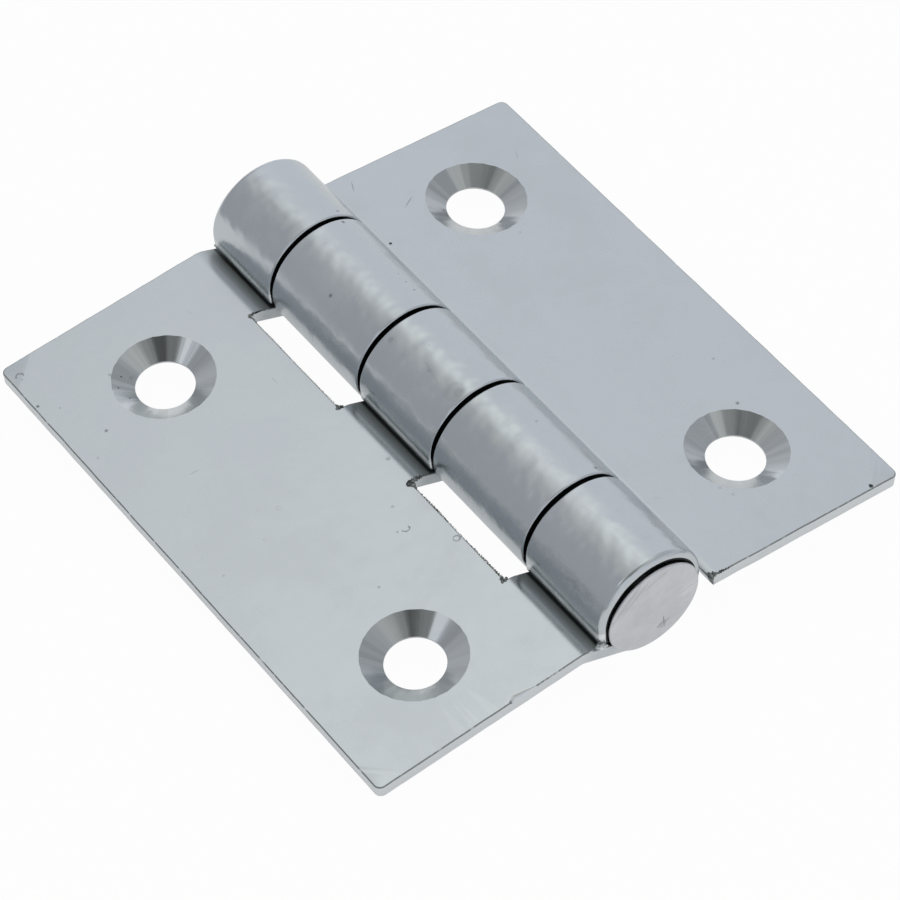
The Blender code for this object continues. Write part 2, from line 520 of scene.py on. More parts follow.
@dataclass(frozen=True)
class RollSizes:
    """The section that both leaves share, from the plate to the tail."""

    sheet: float = 1.2 * MM
    bore: float = 3.6 * MM
    plate_drop: float = 1.0 * MM
    root_slope: float = 26.0
    bend_radius: float = 0.9 * MM
    tail_gap: float = 0.3 * MM

    @property
    def outside(self) -> float:
        """The roll's outer radius.

        Returns:
            The radius.
        """
        return self.bore + self.sheet

    @property
    def bend_middle(self) -> float:
        """The crank's radius at the middle of the sheet.

        Returns:
            The radius.
        """
        return self.bend_radius + self.sheet / 2

    @property
    def roll_middle(self) -> float:
        """The roll's radius at the middle of the sheet.

        Returns:
            The radius.
        """
        return self.bore + self.sheet / 2

    @property
    def bend_start(self) -> float:
        """How far from the axis the plate ends and the crank starts.

        Returns:
            The place u.
        """
        slope = math.radians(self.root_slope)
        bend_w = -self.plate_drop - self.sheet - self.bend_radius
        return (self.outside + self.bend_radius + bend_w * math.cos(slope)) / math.sin(slope)

    @property
    def bend_length(self) -> float:
        """The length of sheet in the crank.

        Returns:
            The length.
        """
        return self.bend_middle * math.radians(self.root_slope)

    @property
    def root_length(self) -> float:
        """The length of the straight root between the crank and the roll.

        Returns:
            The length.
        """
        slope = math.radians(self.root_slope)
        end_u = self.bend_start - self.bend_radius * math.sin(slope)
        end_w = (self.bend_radius * (math.cos(slope) - 1)
                 - self.plate_drop - self.sheet)
        return end_u * math.cos(slope) + end_w * math.sin(slope)

    @property
    def roll_turn(self) -> float:
        """How far the sheet turns round the pin.

        Returns:
            The angle in degrees.
        """
        return 270.0 + self.root_slope

    @property
    def roll_start(self) -> float:
        """Where the roll starts on the flat blank.

        Returns:
            The place s.
        """
        return self.bend_length + self.root_length

    @property
    def tail_start(self) -> float:
        """Where the straight tail starts on the flat blank.

        Returns:
            The place s.
        """
        return self.roll_start + self.roll_middle * math.radians(self.roll_turn)

    def tail_length(self, t: float) -> float:
        """The tail's length down to the root, which it almost touches.

        Args:
            t: The place through the sheet.

        Returns:
            The length at that place.
        """
        slope = math.radians(self.root_slope)
        clear = self.bore - self.tail_gap
        return (clear - (self.outside - t) * math.sin(slope)) / math.cos(slope)

    def on_blank(self, u: float) -> float:
        """Where a point of the plate or crank lies on the flat blank.

        Args:
            u: Its distance from the axis.

        Returns:
            Its place s on the blank.
        """
        inward = self.bend_start - u
        if inward <= 0:
            return inward
        return self.bend_middle * math.asin(inward / self.bend_middle)


@dataclass(frozen=True)
class EdgeSizes:
    """How worn the sheared edges of a blank are."""

    burr_round: float = 0.09 * MM
    under_round: float = 0.16 * MM
    mouth_round: float = 0.5 * MM
    funnel_round: float = 0.65 * MM
    round_steps: int = 4
    point_step: float = 0.25 * MM
    waver: float = 0.025 * MM
    waver_length: float = 1.6 * MM
    mouth_fade: float = 3.0 * MM
    gap_inset: float = 0.04 * MM
    corner_round: float = 0.6 * MM
    corner_steps: int = 8
    tail_corner: float = 0.25 * MM
    tail_steps: int = 4
    rung_clearance: float = 0.02 * MM
    mouth_margin: float = 0.1 * MM
    nick_ease: float = 0.12


@dataclass(frozen=True)
class SinkSizes:
    """A drilled and countersunk screw hole."""

    hole_radius: float = 4.75 / 2 * MM
    sink_radius: float = 8.3 / 2 * MM
    land: float = 0.15 * MM
    sides: int = 96
    facets: int = 24
    facet_depth: float = 1.0
    chatter: float = 0.015 * MM
    # Bearing of the countersink wall that takes the painted light; the opposite wall takes painted
    # shade.
    lean: float = 262.0
    phases: tuple[float, ...] = (0.0, 0.13)


@dataclass(frozen=True)
class Mark:
    """One visible mark on a plate's upper face or on the outside of the roll.

    It lies at u from the pin's axis and y along it, or else on the roll, at
    an angle around it from where the tail starts.
    """

    kind: MarkKind
    u: float
    y: float
    size: float
    strength: float = 1.0
    turn: float = 0.0
    around: float = 0.0


@dataclass(frozen=True)
class FoldShade:
    """Where a sheet gets painted shade and a painted highlight beside the mouth of its roll, in
    millimetres.

    Each pair runs from where a shade is nothing to where it is full. The root's
    places are measured on the blank and the tail's places back from its end.
    """

    root_rise: Point = (-0.1, 1.6)
    root_fall: Point = (5.0, 2.5)
    lip_middle: float = 0.88
    lip_half: Point = (0.42, 0.20)
    mouth_rise: Point = (1.52, 1.76)
    mouth_fall: Point = (4.5, 3.5)
    mouth_face: Point = (1.0, 1.15)
    tail_end: Point = (0.52, 0.04)
    # Strength of the painted shade in the mouth and at the tail's end.
    dirt_and_shade: float = 0.94
    ripple_rise: Point = (1.0, 3.5)
    ripple_least: float = 0.08


@dataclass(frozen=True)
class ZincFinish:
    """Bright zinc plate on steel, cloudy and lightly scratched."""

    name: str
    light_tint: Color = (0.60, 0.635, 0.665, 1.0)
    deep_tint: Color = (0.572, 0.610, 0.632, 1.0)
    cut_tint: Color = (0.70, 0.73, 0.745, 1.0)
    chip_tint: Color = (0.17, 0.185, 0.18, 1.0)
    # Painted shade and painted light on the countersink walls, mixed by the stored tone.
    sink_shaded_tint: Color = (0.42, 0.445, 0.46, 1.0)
    sink_lit_tint: Color = (0.76, 0.79, 0.80, 1.0)
    # Painted shade on the root, standing in for the dark underside of the roll that it reflects;
    # root_metal goes with it.
    root_shade_tint: Color = (0.43, 0.47, 0.47, 1.0)
    root_metal: float = 0.5
    # Painted highlight on the tail's lip.
    lip_highlight_tint: Color = (0.93, 0.95, 0.95, 1.0)
    # Dark specks and marks, and also the painted shade in the mouth of the roll.
    dirt_and_shade_tint: Color = (0.06, 0.065, 0.07, 1.0)
    # Painted shade on edge faces of the roll in the knuckle gaps and inside the mouths.
    gap_shade_tint: Color = (0.03, 0.034, 0.034, 1.0)
    roughness: float = 0.2
    roughness_spread: float = 0.12
    sink_roughness: float = 0.16
    cut_roughness: float = 0.1
    dirt_roughness: float = 0.4
    root_roughness: float = 0.25
    chip_range: Point = (0.30, 0.46)
    chip_cover: float = 0.8
    waviness: float = 0.10 * MM
    grain: float = 0.0008 * MM
    specks: float = 0.6
    scratches: float = 0.35
    fold: FoldShade = FoldShade()
    marks: tuple[Mark, ...] = ()


@dataclass(frozen=True)
class PinFinish:
    """The zinc of the pin, rougher than the sheet's."""

    name: str = "zinc_pin"
    light_tint: Color = (0.70, 0.705, 0.735, 1.0)
    deep_tint: Color = (0.60, 0.615, 0.63, 1.0)
    scuff_tint: Color = (0.85, 0.86, 0.86, 1.0)
    dirt_and_shade_tint: Color = (0.06, 0.065, 0.07, 1.0)
    roughness: float = 0.3
    roughness_spread: float = 0.15
    waviness: float = 0.015 * MM
    grain: float = 0.002 * MM
    specks: float = 0.4
    scratches: float = 0.6
    cloud_scale: float = 320.0
    marks: tuple[Mark, ...] = (Mark(MarkKind.SCRATCH, 1.1 * MM, -2.8 * MM, 0.065 * MM, 0.55, -97.0),
                               Mark(MarkKind.SCRATCH, 1.05 * MM, -2.95 * MM, 0.06 * MM, 0.5, -10.0),
                               Mark(MarkKind.SPOT, 0.95 * MM, -3.05 * MM, 0.45 * MM, 0.2),
                               Mark(MarkKind.SCRATCH, -2.5 * MM, 1.9 * MM, 0.20 * MM, 0.14, -48.0),
                               Mark(MarkKind.SCRATCH, -1.7 * MM, 2.0 * MM, 0.15 * MM, 0.14, -42.0),
                               Mark(MarkKind.SCRATCH, 0.2 * MM, 2.7 * MM, 0.14 * MM, 0.12, -18.0))


@dataclass(frozen=True)
class BurrFinish:
    """The zinc of torn burrs, dark or light."""

    name: str
    light_tint: Color = (0.34, 0.36, 0.35, 1.0)
    deep_tint: Color = (0.05, 0.055, 0.055, 1.0)
    roughness: float = 0.42


class ZincShop:
    """Builds the zinc materials from shared node groups."""

    CLOUD_SCALE = 130.0
    RIPPLE_SCALE = 620.0
    GRAIN_SCALE = 5000.0
    CHIP_SCALE = 1400.0

    def __init__(self) -> None:
        """Builds the shared groups once."""
        self.clouds = self.cloud_group()
        self.wear = self.wear_group()
        self.surface = self.surface_group()
        self.mark = self.mark_group()

    @staticmethod
    def cloud_group() -> bpy.types.NodeTree:
        """Builds the cloudy tone of zinc plate.

        Returns:
            The node group.
        """
        tree, write, given = new_group(
            "zinc_clouds", "ShaderNodeTree",
            {"Vector": ("NodeSocketVector", None), "Scale": ("NodeSocketFloat", 130.0),
             "Light": ("NodeSocketColor", None), "Deep": ("NodeSocketColor", None)},
            {"Color": "NodeSocketColor", "Cloud": "NodeSocketFloat"})
        broad = write.noise(given["Vector"], given["Scale"], 3.0)
        fine = write.noise(given["Vector"], write.math("MULTIPLY", given["Scale"], 5.0), 4.0, 0.6)
        cloud = write.ramp(write.math("MULTIPLY_ADD", fine, 0.35, write.math(
            "MULTIPLY", broad, 0.65)), 0.36, 0.64)
        write.add("NodeGroupOutput", {
            "Color": write.mix(cloud, given["Deep"], given["Light"]), "Cloud": cloud})
        return tree

    @staticmethod
    def wear_group() -> bpy.types.NodeTree:
        """Builds masks of fine specks and scratches.

        Returns:
            The node group.
        """
        tree, write, given = new_group(
            "fine_wear", "ShaderNodeTree",
            {"Vector": ("NodeSocketVector", None), "Specks": ("NodeSocketFloat", 0.5),
             "Scratches": ("NodeSocketFloat", 0.5)},
            {"Speck Mask": "NodeSocketFloat", "Scratch Mask": "NodeSocketFloat"})
        spots = write.add("ShaderNodeTexVoronoi", {"Vector": given["Vector"], "Scale": 420.0})
        near = write.ramp(spots.outputs["Distance"], 0.10, 0.02)
        pick = write.add("ShaderNodeSeparateColor", {0: spots.outputs["Color"]}).outputs[0]
        chosen = write.math("GREATER_THAN", pick, 0.86)
        speck = write.math("MULTIPLY", write.math("MULTIPLY", near, chosen), given["Specks"])
        lines = None
        for turn, scale, seed in ((25.0, 260.0, 0.0), (-52.0, 310.0, 3.7)):
            stretch = write.add("ShaderNodeMapping", {
                "Vector": given["Vector"], "Location": (seed, seed, 0.0),
                "Rotation": (0.0, 0.0, math.radians(turn)), "Scale": (0.06, 1.0, 1.0)})
            pattern = write.noise(stretch.outputs[0], scale, 2.0)
            line = write.ramp(write.math("ABSOLUTE", write.math("SUBTRACT", pattern, 0.5)),
                              0.006, 0.0)
            field_mask = write.ramp(write.noise(given["Vector"], 180.0 + scale / 10, 1.0),
                                    0.56, 0.66)
            line = write.math("MULTIPLY", line, field_mask)
            lines = line if lines is None else write.math("MAXIMUM", lines, line)
        write.add("NodeGroupOutput", {
            "Speck Mask": speck,
            "Scratch Mask": write.math("MULTIPLY", lines, given["Scratches"])})
        return tree

    @staticmethod
    def surface_group() -> bpy.types.NodeTree:
        """Builds the height of a sheet's slow ripples and fine grain.

        Returns:
            The node group.
        """
        tree, write, given = new_group(
            "sheet_surface", "ShaderNodeTree",
            {"Vector": ("NodeSocketVector", None), "Ripple Scale": ("NodeSocketFloat", 750.0),
             "Grain Scale": ("NodeSocketFloat", 5000.0), "Ripple": ("NodeSocketFloat", 0.0),
             "Grain": ("NodeSocketFloat", 0.0), "Curl": ("NodeSocketFloat", 1.0)},
            {"Height": "NodeSocketFloat"})
        ripple = write.noise(given["Vector"], given["Ripple Scale"], 1.0)
        grain = write.noise(given["Vector"], given["Grain Scale"], 2.0)
        ripple_height = write.math("MULTIPLY", write.math("MULTIPLY", ripple, given["Ripple"]),
                                   given["Curl"])
        height = write.math("MULTIPLY_ADD", grain, given["Grain"], ripple_height)
        write.add("NodeGroupOutput", {"Height": height})
        return tree

    @staticmethod
    def mark_group() -> bpy.types.NodeTree:
        """Builds the mask of one spot, ring or scratch on a blank.

        The blank's place comes in millimetres. Ring turns the spot into a
        ring, and Stretch draws it out along its own direction.

        Returns:
            The node group.
        """
        tree, write, given = new_group(
            "single_mark", "ShaderNodeTree",
            {"Blank": ("NodeSocketVector", None), "Centre": ("NodeSocketVector", None),
             "Turn": ("NodeSocketFloat", 0.0), "Size": ("NodeSocketFloat", 1.0),
             "Stretch": ("NodeSocketFloat", 1.0), "Ring": ("NodeSocketFloat", 0.0),
             "Strength": ("NodeSocketFloat", 1.0)},
            {"Mask": "NodeSocketFloat"})
        offset = write.vector("SUBTRACT", given["Blank"], given["Centre"])
        turned = write.add("ShaderNodeVectorRotate",
                           {"Vector": offset, "Angle": given["Turn"]},
                           rotation_type="Z_AXIS").outputs[0]
        parts = write.split(turned)
        along = write.math("DIVIDE", parts[0], given["Stretch"])
        reach = write.math("SQRT", write.math("ADD", write.math("POWER", along, 2.0),
                                              write.math("POWER", parts[1], 2.0)))
        ragged = write.noise(given["Blank"], 6.0, 2.0)
        share = write.math("DIVIDE", reach, given["Size"])
        share = write.math("MULTIPLY_ADD", write.math("SUBTRACT", ragged, 0.5), 0.7, share)
        spot = write.ramp(share, 1.15, 0.7)
        ring = write.ramp(write.math("ABSOLUTE", write.math("SUBTRACT", share, 1.0)), 0.3, 0.05)
        broken = write.ramp(write.noise(given["Blank"], 2.3, 0.0), 0.42, 0.52)
        ring = write.math("MULTIPLY", ring, broken)
        mask = write.math("ADD", write.math("MULTIPLY", ring, given["Ring"]), write.math(
            "MULTIPLY", spot, write.math("SUBTRACT", 1.0, given["Ring"])))
        on_top = write.ramp(parts[2], -0.95, -0.85)
        mask = write.math("MULTIPLY", write.math("MULTIPLY", mask, on_top), given["Strength"])
        write.add("NodeGroupOutput", {"Mask": mask})
        return tree

    def marks_mask(self, write: TreeWriter, blank: Socket, marks: tuple[Mark, ...],
                   roll: RollSizes | None) -> Feed:
        """Places every single mark and joins their masks.

        Args:
            write: The material's writer.
            blank: The place on the blank, in millimetres.
            marks: The marks.
            roll: The section, for the marks' places on the blank, or nothing
                for marks whose u and y are places on a flat face.

        Returns:
            The joined mask, or zero without marks.
        """
        joined: Feed = 0.0
        for mark in marks:
            stretch = SCRATCH_STRETCH if mark.kind is MarkKind.SCRATCH else 1.0
            if roll is None:
                place = mark.u
            elif mark.around:
                place = roll.tail_start - roll.roll_middle * math.radians(mark.around)
            else:
                place = roll.on_blank(mark.u)
            height = 0.0 if roll is None or mark.around else roll.sheet
            centre = (place / MM, mark.y / MM, height / MM)
            node = write.group(self.mark, {
                "Blank": blank, "Centre": centre, "Turn": math.radians(mark.turn),
                "Size": mark.size / MM, "Stretch": stretch,
                "Ring": 1.0 if mark.kind is MarkKind.RING else 0.0,
                "Strength": mark.strength})
            joined = write.math("MAXIMUM", joined, node.outputs["Mask"])
        return joined

    @staticmethod
    def fold_masks(write: TreeWriter, blank: Socket, fold: FoldShade,
                   roll: RollSizes) -> tuple[Socket, Socket, Socket]:
        """Builds the masks of the painted shade and the painted highlight beside the mouth of the
        roll.

        Args:
            write: The material's writer.
            blank: The place on the blank, in millimetres.
            fold: Where the shades lie.
            roll: The section.

        Returns:
            The masks of the painted shade on the root, of the painted highlight on the tail's lip
            and of the painted shade in the mouth.
        """
        s, _, t = write.split(blank)
        # Painted shade on the root.
        root = write.math("MULTIPLY", write.ramp(s, *fold.root_rise),
                          write.ramp(s, *fold.root_fall))
        from_end = write.math("SUBTRACT", (roll.tail_start + roll.tail_length(0.0)) / MM, s)
        # Painted highlight along the tail's lip.
        lip = write.ramp(write.math("ABSOLUTE", write.math(
            "SUBTRACT", from_end, fold.lip_middle)), *fold.lip_half)
        # Painted shade in the mouth where the tail meets the root, and at the tail's end.
        mouth = write.math("MULTIPLY", write.ramp(s, *fold.mouth_rise),
                           write.ramp(s, *fold.mouth_fall))
        mouth = write.math("MULTIPLY", mouth, write.ramp(t, *fold.mouth_face))
        mouth = write.math("MAXIMUM", write.ramp(from_end, *fold.tail_end), mouth)
        return root, lip, write.math("MULTIPLY", mouth, fold.dirt_and_shade)

    def sheet_zinc(self, finish: ZincFinish, roll: RollSizes) -> bpy.types.Material:
        """Builds the zinc of a sheet, with its marks, its cut edges, and painted shade and highlight
        beside its roll and in its countersinks.

        Args:
            finish: The finish.
            roll: The section, for the marks' places.

        Returns:
            The material.
        """
        material = bpy.data.materials.new(finish.name)
        material.use_nodes = True
        write = TreeWriter(material.node_tree)
        shader = material.node_tree.nodes["Principled BSDF"]
        place = write.add("ShaderNodeTexCoord").outputs["Object"]
        blank = write.add("ShaderNodeAttribute", attribute_name="blank").outputs["Vector"]
        cut = write.add("ShaderNodeAttribute", attribute_name="cut").outputs["Fac"]

        clouds = write.group(self.clouds, {
            "Vector": place, "Scale": self.CLOUD_SCALE, "Light": finish.light_tint,
            "Deep": finish.deep_tint})
        wear = write.group(self.wear, {
            "Vector": place, "Specks": finish.specks, "Scratches": finish.scratches})
        s = write.split(blank)[0]
        curl = write.ramp(s, *finish.fold.ripple_rise, finish.fold.ripple_least, 1.0)
        surface = write.group(self.surface, {
            "Vector": place, "Ripple Scale": self.RIPPLE_SCALE, "Grain Scale": self.GRAIN_SCALE,
            "Ripple": finish.waviness, "Grain": finish.grain, "Curl": curl})
        marks = self.marks_mask(write, blank, finish.marks, roll)
        dirt_and_shade = write.math("MAXIMUM", wear.outputs["Speck Mask"], marks)

        sink = write.clamp(write.math("SUBTRACT", 1.0, write.math("MULTIPLY", write.math(
            "ABSOLUTE", write.math("SUBTRACT", cut, SINK_CUT)), 2.0)), 0.0, 1.0)
        tone = write.add("ShaderNodeAttribute", attribute_name="tone").outputs["Fac"]
        root, lip, mouth = self.fold_masks(write, blank, finish.fold, roll)
        # Painted shade on the root.
        color = write.mix(root, clouds.outputs["Color"], finish.root_shade_tint)
        # Painted highlight on the tail's lip.
        color = write.mix(lip, color, finish.lip_highlight_tint)
        # Painted shade in the mouth of the roll.
        color = write.mix(mouth, color, finish.dirt_and_shade_tint)
        color = write.mix(write.math("GREATER_THAN", cut, BARE_FROM), color, finish.cut_tint)
        chips = write.ramp(write.noise(place, self.CHIP_SCALE, 3.0, 0.6), *finish.chip_range)
        chips = write.math("MULTIPLY", chips, write.math("GREATER_THAN", cut, BURRED_FROM))
        color = write.mix(write.math("MULTIPLY", chips, finish.chip_cover), color,
                          finish.chip_tint)
        # Painted light and shade on the countersink walls, by the stored tone.
        color = write.mix(sink, color, write.mix(tone, finish.sink_shaded_tint,
                                                 finish.sink_lit_tint))
        color = write.mix(wear.outputs["Scratch Mask"], color, finish.light_tint)
        color = write.mix(dirt_and_shade, color, finish.dirt_and_shade_tint)
        # Painted shade on edge faces of the roll in the knuckle gaps and inside the mouths.
        color = write.mix(write.math("GREATER_THAN", cut, SHADED_FROM), color, finish.gap_shade_tint)
        rough = write.math("MULTIPLY_ADD", clouds.outputs["Cloud"], finish.roughness_spread,
                           finish.roughness)
        rough = write.math("MULTIPLY_ADD", cut, finish.cut_roughness, rough)
        rough = write.math("ADD", rough, write.math("MULTIPLY", sink, write.math(
            "SUBTRACT", finish.sink_roughness, rough)))
        rough = write.math("MULTIPLY_ADD", dirt_and_shade, finish.dirt_roughness, rough)
        rough = write.math("MULTIPLY_ADD", root, finish.root_roughness, rough)
        bump = write.add("ShaderNodeBump", {
            "Strength": 1.0, "Distance": 1.0, "Height": surface.outputs["Height"]})
        # The painted shade on the root and the painted highlight on the lip are partly not metallic.
        write.feed(shader.inputs["Metallic"], write.math(
            "MULTIPLY_ADD", write.math("MAXIMUM", root, lip), finish.root_metal - 1.0, 1.0))
        write.feed(shader.inputs["Base Color"], color)
        write.feed(shader.inputs["Roughness"], rough)
        write.feed(shader.inputs["Normal"], bump.outputs[0])
        return material

    def burr_zinc(self, finish: BurrFinish) -> bpy.types.Material:
        """Builds the patchy zinc of burrs.

        Args:
            finish: The finish.

        Returns:
            The material.
        """
        material = bpy.data.materials.new(finish.name)
        material.use_nodes = True
        write = TreeWriter(material.node_tree)
        shader = material.node_tree.nodes["Principled BSDF"]
        place = write.add("ShaderNodeTexCoord").outputs["Object"]
        clouds = write.group(self.clouds, {
            "Vector": place, "Scale": self.CHIP_SCALE, "Light": finish.light_tint,
            "Deep": finish.deep_tint})
        shader.inputs["Metallic"].default_value = 1.0
        shader.inputs["Roughness"].default_value = finish.roughness
        write.feed(shader.inputs["Base Color"], clouds.outputs["Color"])
        return material

    def pin_zinc(self, face: Vector) -> bpy.types.Material:
        """Builds the duller zinc of the pin, scuffed where it was staked.

        Args:
            face: The middle of the near face, where the axis leaves it.

        Returns:
            The material.
        """
        finish = PinFinish()
        material = bpy.data.materials.new(finish.name)
        material.use_nodes = True
        write = TreeWriter(material.node_tree)
        shader = material.node_tree.nodes["Principled BSDF"]
        place = write.add("ShaderNodeTexCoord").outputs["Object"]
        clouds = write.group(self.clouds, {
            "Vector": place, "Scale": finish.cloud_scale, "Light": finish.light_tint,
            "Deep": finish.deep_tint})
        wear = write.group(self.wear, {
            "Vector": place, "Specks": finish.specks, "Scratches": finish.scratches})
        surface = write.group(self.surface, {
            "Vector": place, "Ripple Scale": self.RIPPLE_SCALE, "Grain Scale": self.GRAIN_SCALE,
            "Ripple": finish.waviness, "Grain": finish.grain, "Curl": 1.0})
        x, y, z = write.split(write.vector("SUBTRACT", place, tuple(face)))
        flat = write.join(*(write.math("MULTIPLY", part, sign / MM)
                            for part, sign in ((x, 1), (z, 1), (y, -1))))
        marks = self.marks_mask(write, flat, finish.marks, None)
        color = write.mix(wear.outputs["Scratch Mask"], clouds.outputs["Color"],
                          finish.scuff_tint)
        color = write.mix(write.math("MAXIMUM", wear.outputs["Speck Mask"], marks), color,
                          finish.dirt_and_shade_tint)
        rough = write.math("MULTIPLY_ADD", clouds.outputs["Cloud"], finish.roughness_spread,
                           finish.roughness)
        bump = write.add("ShaderNodeBump", {
            "Strength": 1.0, "Distance": 1.0, "Height": surface.outputs["Height"]})
        shader.inputs["Metallic"].default_value = 1.0
        write.feed(shader.inputs["Base Color"], color)
        write.feed(shader.inputs["Roughness"], rough)
        write.feed(shader.inputs["Normal"], bump.outputs[0])
        return material


class SheetPress:
    """Holds the Geometry Nodes trees that drill, roll and burr the sheets."""

    def __init__(self) -> None:
        """Builds the trees once."""
        self.arc_run = self.arc_run_group()
        self.line_run = self.line_run_group()
        self.roll = self.roll_tree()
        self.sink = self.sink_tree()
        self.burrs = self.burr_tree()

    @staticmethod
    def arc_run_group() -> bpy.types.NodeTree:
        """Builds how far an arc of the section carries a point of the sheet.

        Returns:
            The node group.
        """
        number = "NodeSocketFloat"
        tree, write, given = new_group(
            "arc_run", "GeometryNodeTree",
            {"Along": (number, 0.0), "Start": (number, 0.0), "Turn": (number, 1.0),
             "Radius": (number, 1.0), "Heading": (number, 0.0)},
            {"U": number, "W": number, "Heading": number})
        sign = write.math("SIGN", given["Turn"])
        length = write.math("MULTIPLY", write.math("ABSOLUTE", given["Turn"]), given["Radius"])
        travelled = write.clamp(write.math("SUBTRACT", given["Along"], given["Start"]),
                                0.0, length)
        signed = write.math("MULTIPLY", sign, given["Radius"])
        heading = write.math("ADD", given["Heading"], write.math("DIVIDE", travelled, signed))
        across = write.math("SUBTRACT", write.math("SINE", heading),
                            write.math("SINE", given["Heading"]))
        up = write.math("SUBTRACT", write.math("COSINE", given["Heading"]),
                        write.math("COSINE", heading))
        write.add("NodeGroupOutput", {
            "U": write.math("MULTIPLY", signed, across),
            "W": write.math("MULTIPLY", signed, up), "Heading": heading})
        return tree

    @staticmethod
    def line_run_group() -> bpy.types.NodeTree:
        """Builds how far a straight of the section carries a point of the sheet.

        Returns:
            The node group.
        """
        number = "NodeSocketFloat"
        tree, write, given = new_group(
            "line_run", "GeometryNodeTree",
            {"Along": (number, 0.0), "Start": (number, 0.0), "Length": (number, 1.0),
             "Heading": (number, 0.0)},
            {"U": number, "W": number})
        travelled = write.clamp(write.math("SUBTRACT", given["Along"], given["Start"]),
                                0.0, given["Length"])
        write.add("NodeGroupOutput", {
            "U": write.math("MULTIPLY", travelled, write.math("COSINE", given["Heading"])),
            "W": write.math("MULTIPLY", travelled, write.math("SINE", given["Heading"]))})
        return tree

    def roll_tree(self) -> bpy.types.NodeTree:
        """Builds the tree that cranks a flat blank and rolls it round the pin.

        Returns:
            The tree.
        """
        number = "NodeSocketFloat"
        tree, write, given = new_group(
            "roll_sheet", "GeometryNodeTree",
            {"Geometry": ("NodeSocketGeometry", None), "Sheet": (number, 0.001),
             "Plate Drop": (number, 0.001), "Bend Start": (number, 0.006),
             "Bend Radius": (number, 0.001), "Bend Turn": (number, 0.5),
             "Root Length": (number, 0.004), "Roll Radius": (number, 0.004),
             "Roll Turn": (number, 5.0), "Material": ("NodeSocketMaterial", None)},
            {"Geometry": "NodeSocketGeometry"})
        position = write.add("GeometryNodeInputPosition").outputs[0]
        s, y, t = write.split(position)
        half = write.math("MULTIPLY", given["Sheet"], 0.5)
        plate = write.math("MINIMUM", s, 0.0)
        bend_length = write.math("MULTIPLY", given["Bend Turn"], given["Bend Radius"])
        roll_start = write.math("ADD", bend_length, given["Root Length"])
        roll_length = write.math("MULTIPLY", given["Roll Turn"], given["Roll Radius"])

        bend = write.group(self.arc_run, {
            "Along": s, "Start": 0.0, "Turn": given["Bend Turn"],
            "Radius": given["Bend Radius"], "Heading": math.pi})
        sloping = bend.outputs["Heading"]
        root = write.group(self.line_run, {
            "Along": s, "Start": bend_length, "Length": given["Root Length"],
            "Heading": sloping})
        roll = write.group(self.arc_run, {
            "Along": s, "Start": roll_start,
            "Turn": write.math("MULTIPLY", given["Roll Turn"], -1.0),
            "Radius": given["Roll Radius"], "Heading": sloping})
        tail = write.group(self.line_run, {
            "Along": s, "Start": write.math("ADD", roll_start, roll_length), "Length": 1.0,
            "Heading": roll.outputs["Heading"]})

        u = write.math("SUBTRACT", given["Bend Start"], plate)
        w = write.math("MULTIPLY", write.math("ADD", given["Plate Drop"], half), -1.0)
        for run in (bend, root, roll, tail):
            u = write.math("ADD", u, run.outputs["U"])
            w = write.math("ADD", w, run.outputs["W"])
        square = write.math("SUBTRACT", roll.outputs["Heading"], math.pi / 2)
        off_middle = write.math("SUBTRACT", t, half)
        u = write.math("MULTIPLY_ADD", off_middle, write.math("COSINE", square), u)
        w = write.math("MULTIPLY_ADD", off_middle, write.math("SINE", square), w)
        place = write.join(u, y, w)
        moved = write.add("GeometryNodeSetPosition",
                          {"Geometry": given["Geometry"], "Position": place}).outputs[0]
        self.close_tree(write, moved, given["Material"])
        return tree

    def burr_tree(self) -> bpy.types.NodeTree:
        """Builds the tree that strews scraps along a path of edges.

        Returns:
            The tree.
        """
        number = "NodeSocketFloat"
        tree, write, given = new_group(
            "edge_burrs", "GeometryNodeTree",
            {"Geometry": ("NodeSocketGeometry", None), "Step": (number, 0.0001),
             "Size": (number, 0.0001), "Keep": (number, 0.7), "Spread": (number, 0.6),
             "Stretch": (number, 1.0), "Seed": ("NodeSocketInt", 1),
             "Material": ("NodeSocketMaterial", None)},
            {"Geometry": "NodeSocketGeometry"})
        curve = write.add("GeometryNodeMeshToCurve", {0: given["Geometry"]}).outputs[0]
        strewn = write.add("GeometryNodeCurveToPoints",
                           {"Curve": curve, "Length": given["Step"]}, mode="LENGTH")
        chance = write.add("FunctionNodeRandomValue", {"Seed": given["Seed"]}).outputs[1]
        gone = write.math("GREATER_THAN", chance, given["Keep"])
        kept = write.add("GeometryNodeDeleteGeometry",
                         {0: strewn.outputs["Points"], 1: gone}, domain="POINT").outputs[0]
        weight = write.add("GeometryNodeInputNamedAttribute", {"Name": "weight"}).outputs[0]
        size = write.math("MULTIPLY", weight, given["Size"])
        other = write.math("ADD", given["Seed"], 7.0)
        drift = write.random_vector((-1.0, -1.0, -0.6), (1.0, 1.0, 0.25), other)
        drift = write.scale(drift, write.math("MULTIPLY", size, given["Spread"]))
        moved = write.add("GeometryNodeSetPosition",
                          {"Geometry": kept, "Offset": drift}).outputs[0]
        third = write.math("ADD", given["Seed"], 19.0)
        shape = write.random_vector((0.6, 0.35, 0.3), (1.3, 0.9, 0.8), third)
        drawn = write.join(1.0, 1.0, given["Stretch"])
        shape = write.scale(write.vector("MULTIPLY", shape, drawn), size)
        turn = write.random_vector((-0.6, -0.6, -0.8), (0.6, 0.6, 0.8), other)
        aligned = write.add("FunctionNodeRotateRotation", {
            0: strewn.outputs["Rotation"], 1: write.add(
                "FunctionNodeEulerToRotation", {0: turn}).outputs[0]}).outputs[0]
        ball = write.add("GeometryNodeMeshIcoSphere", {"Radius": 1.0, "Subdivisions": 2})
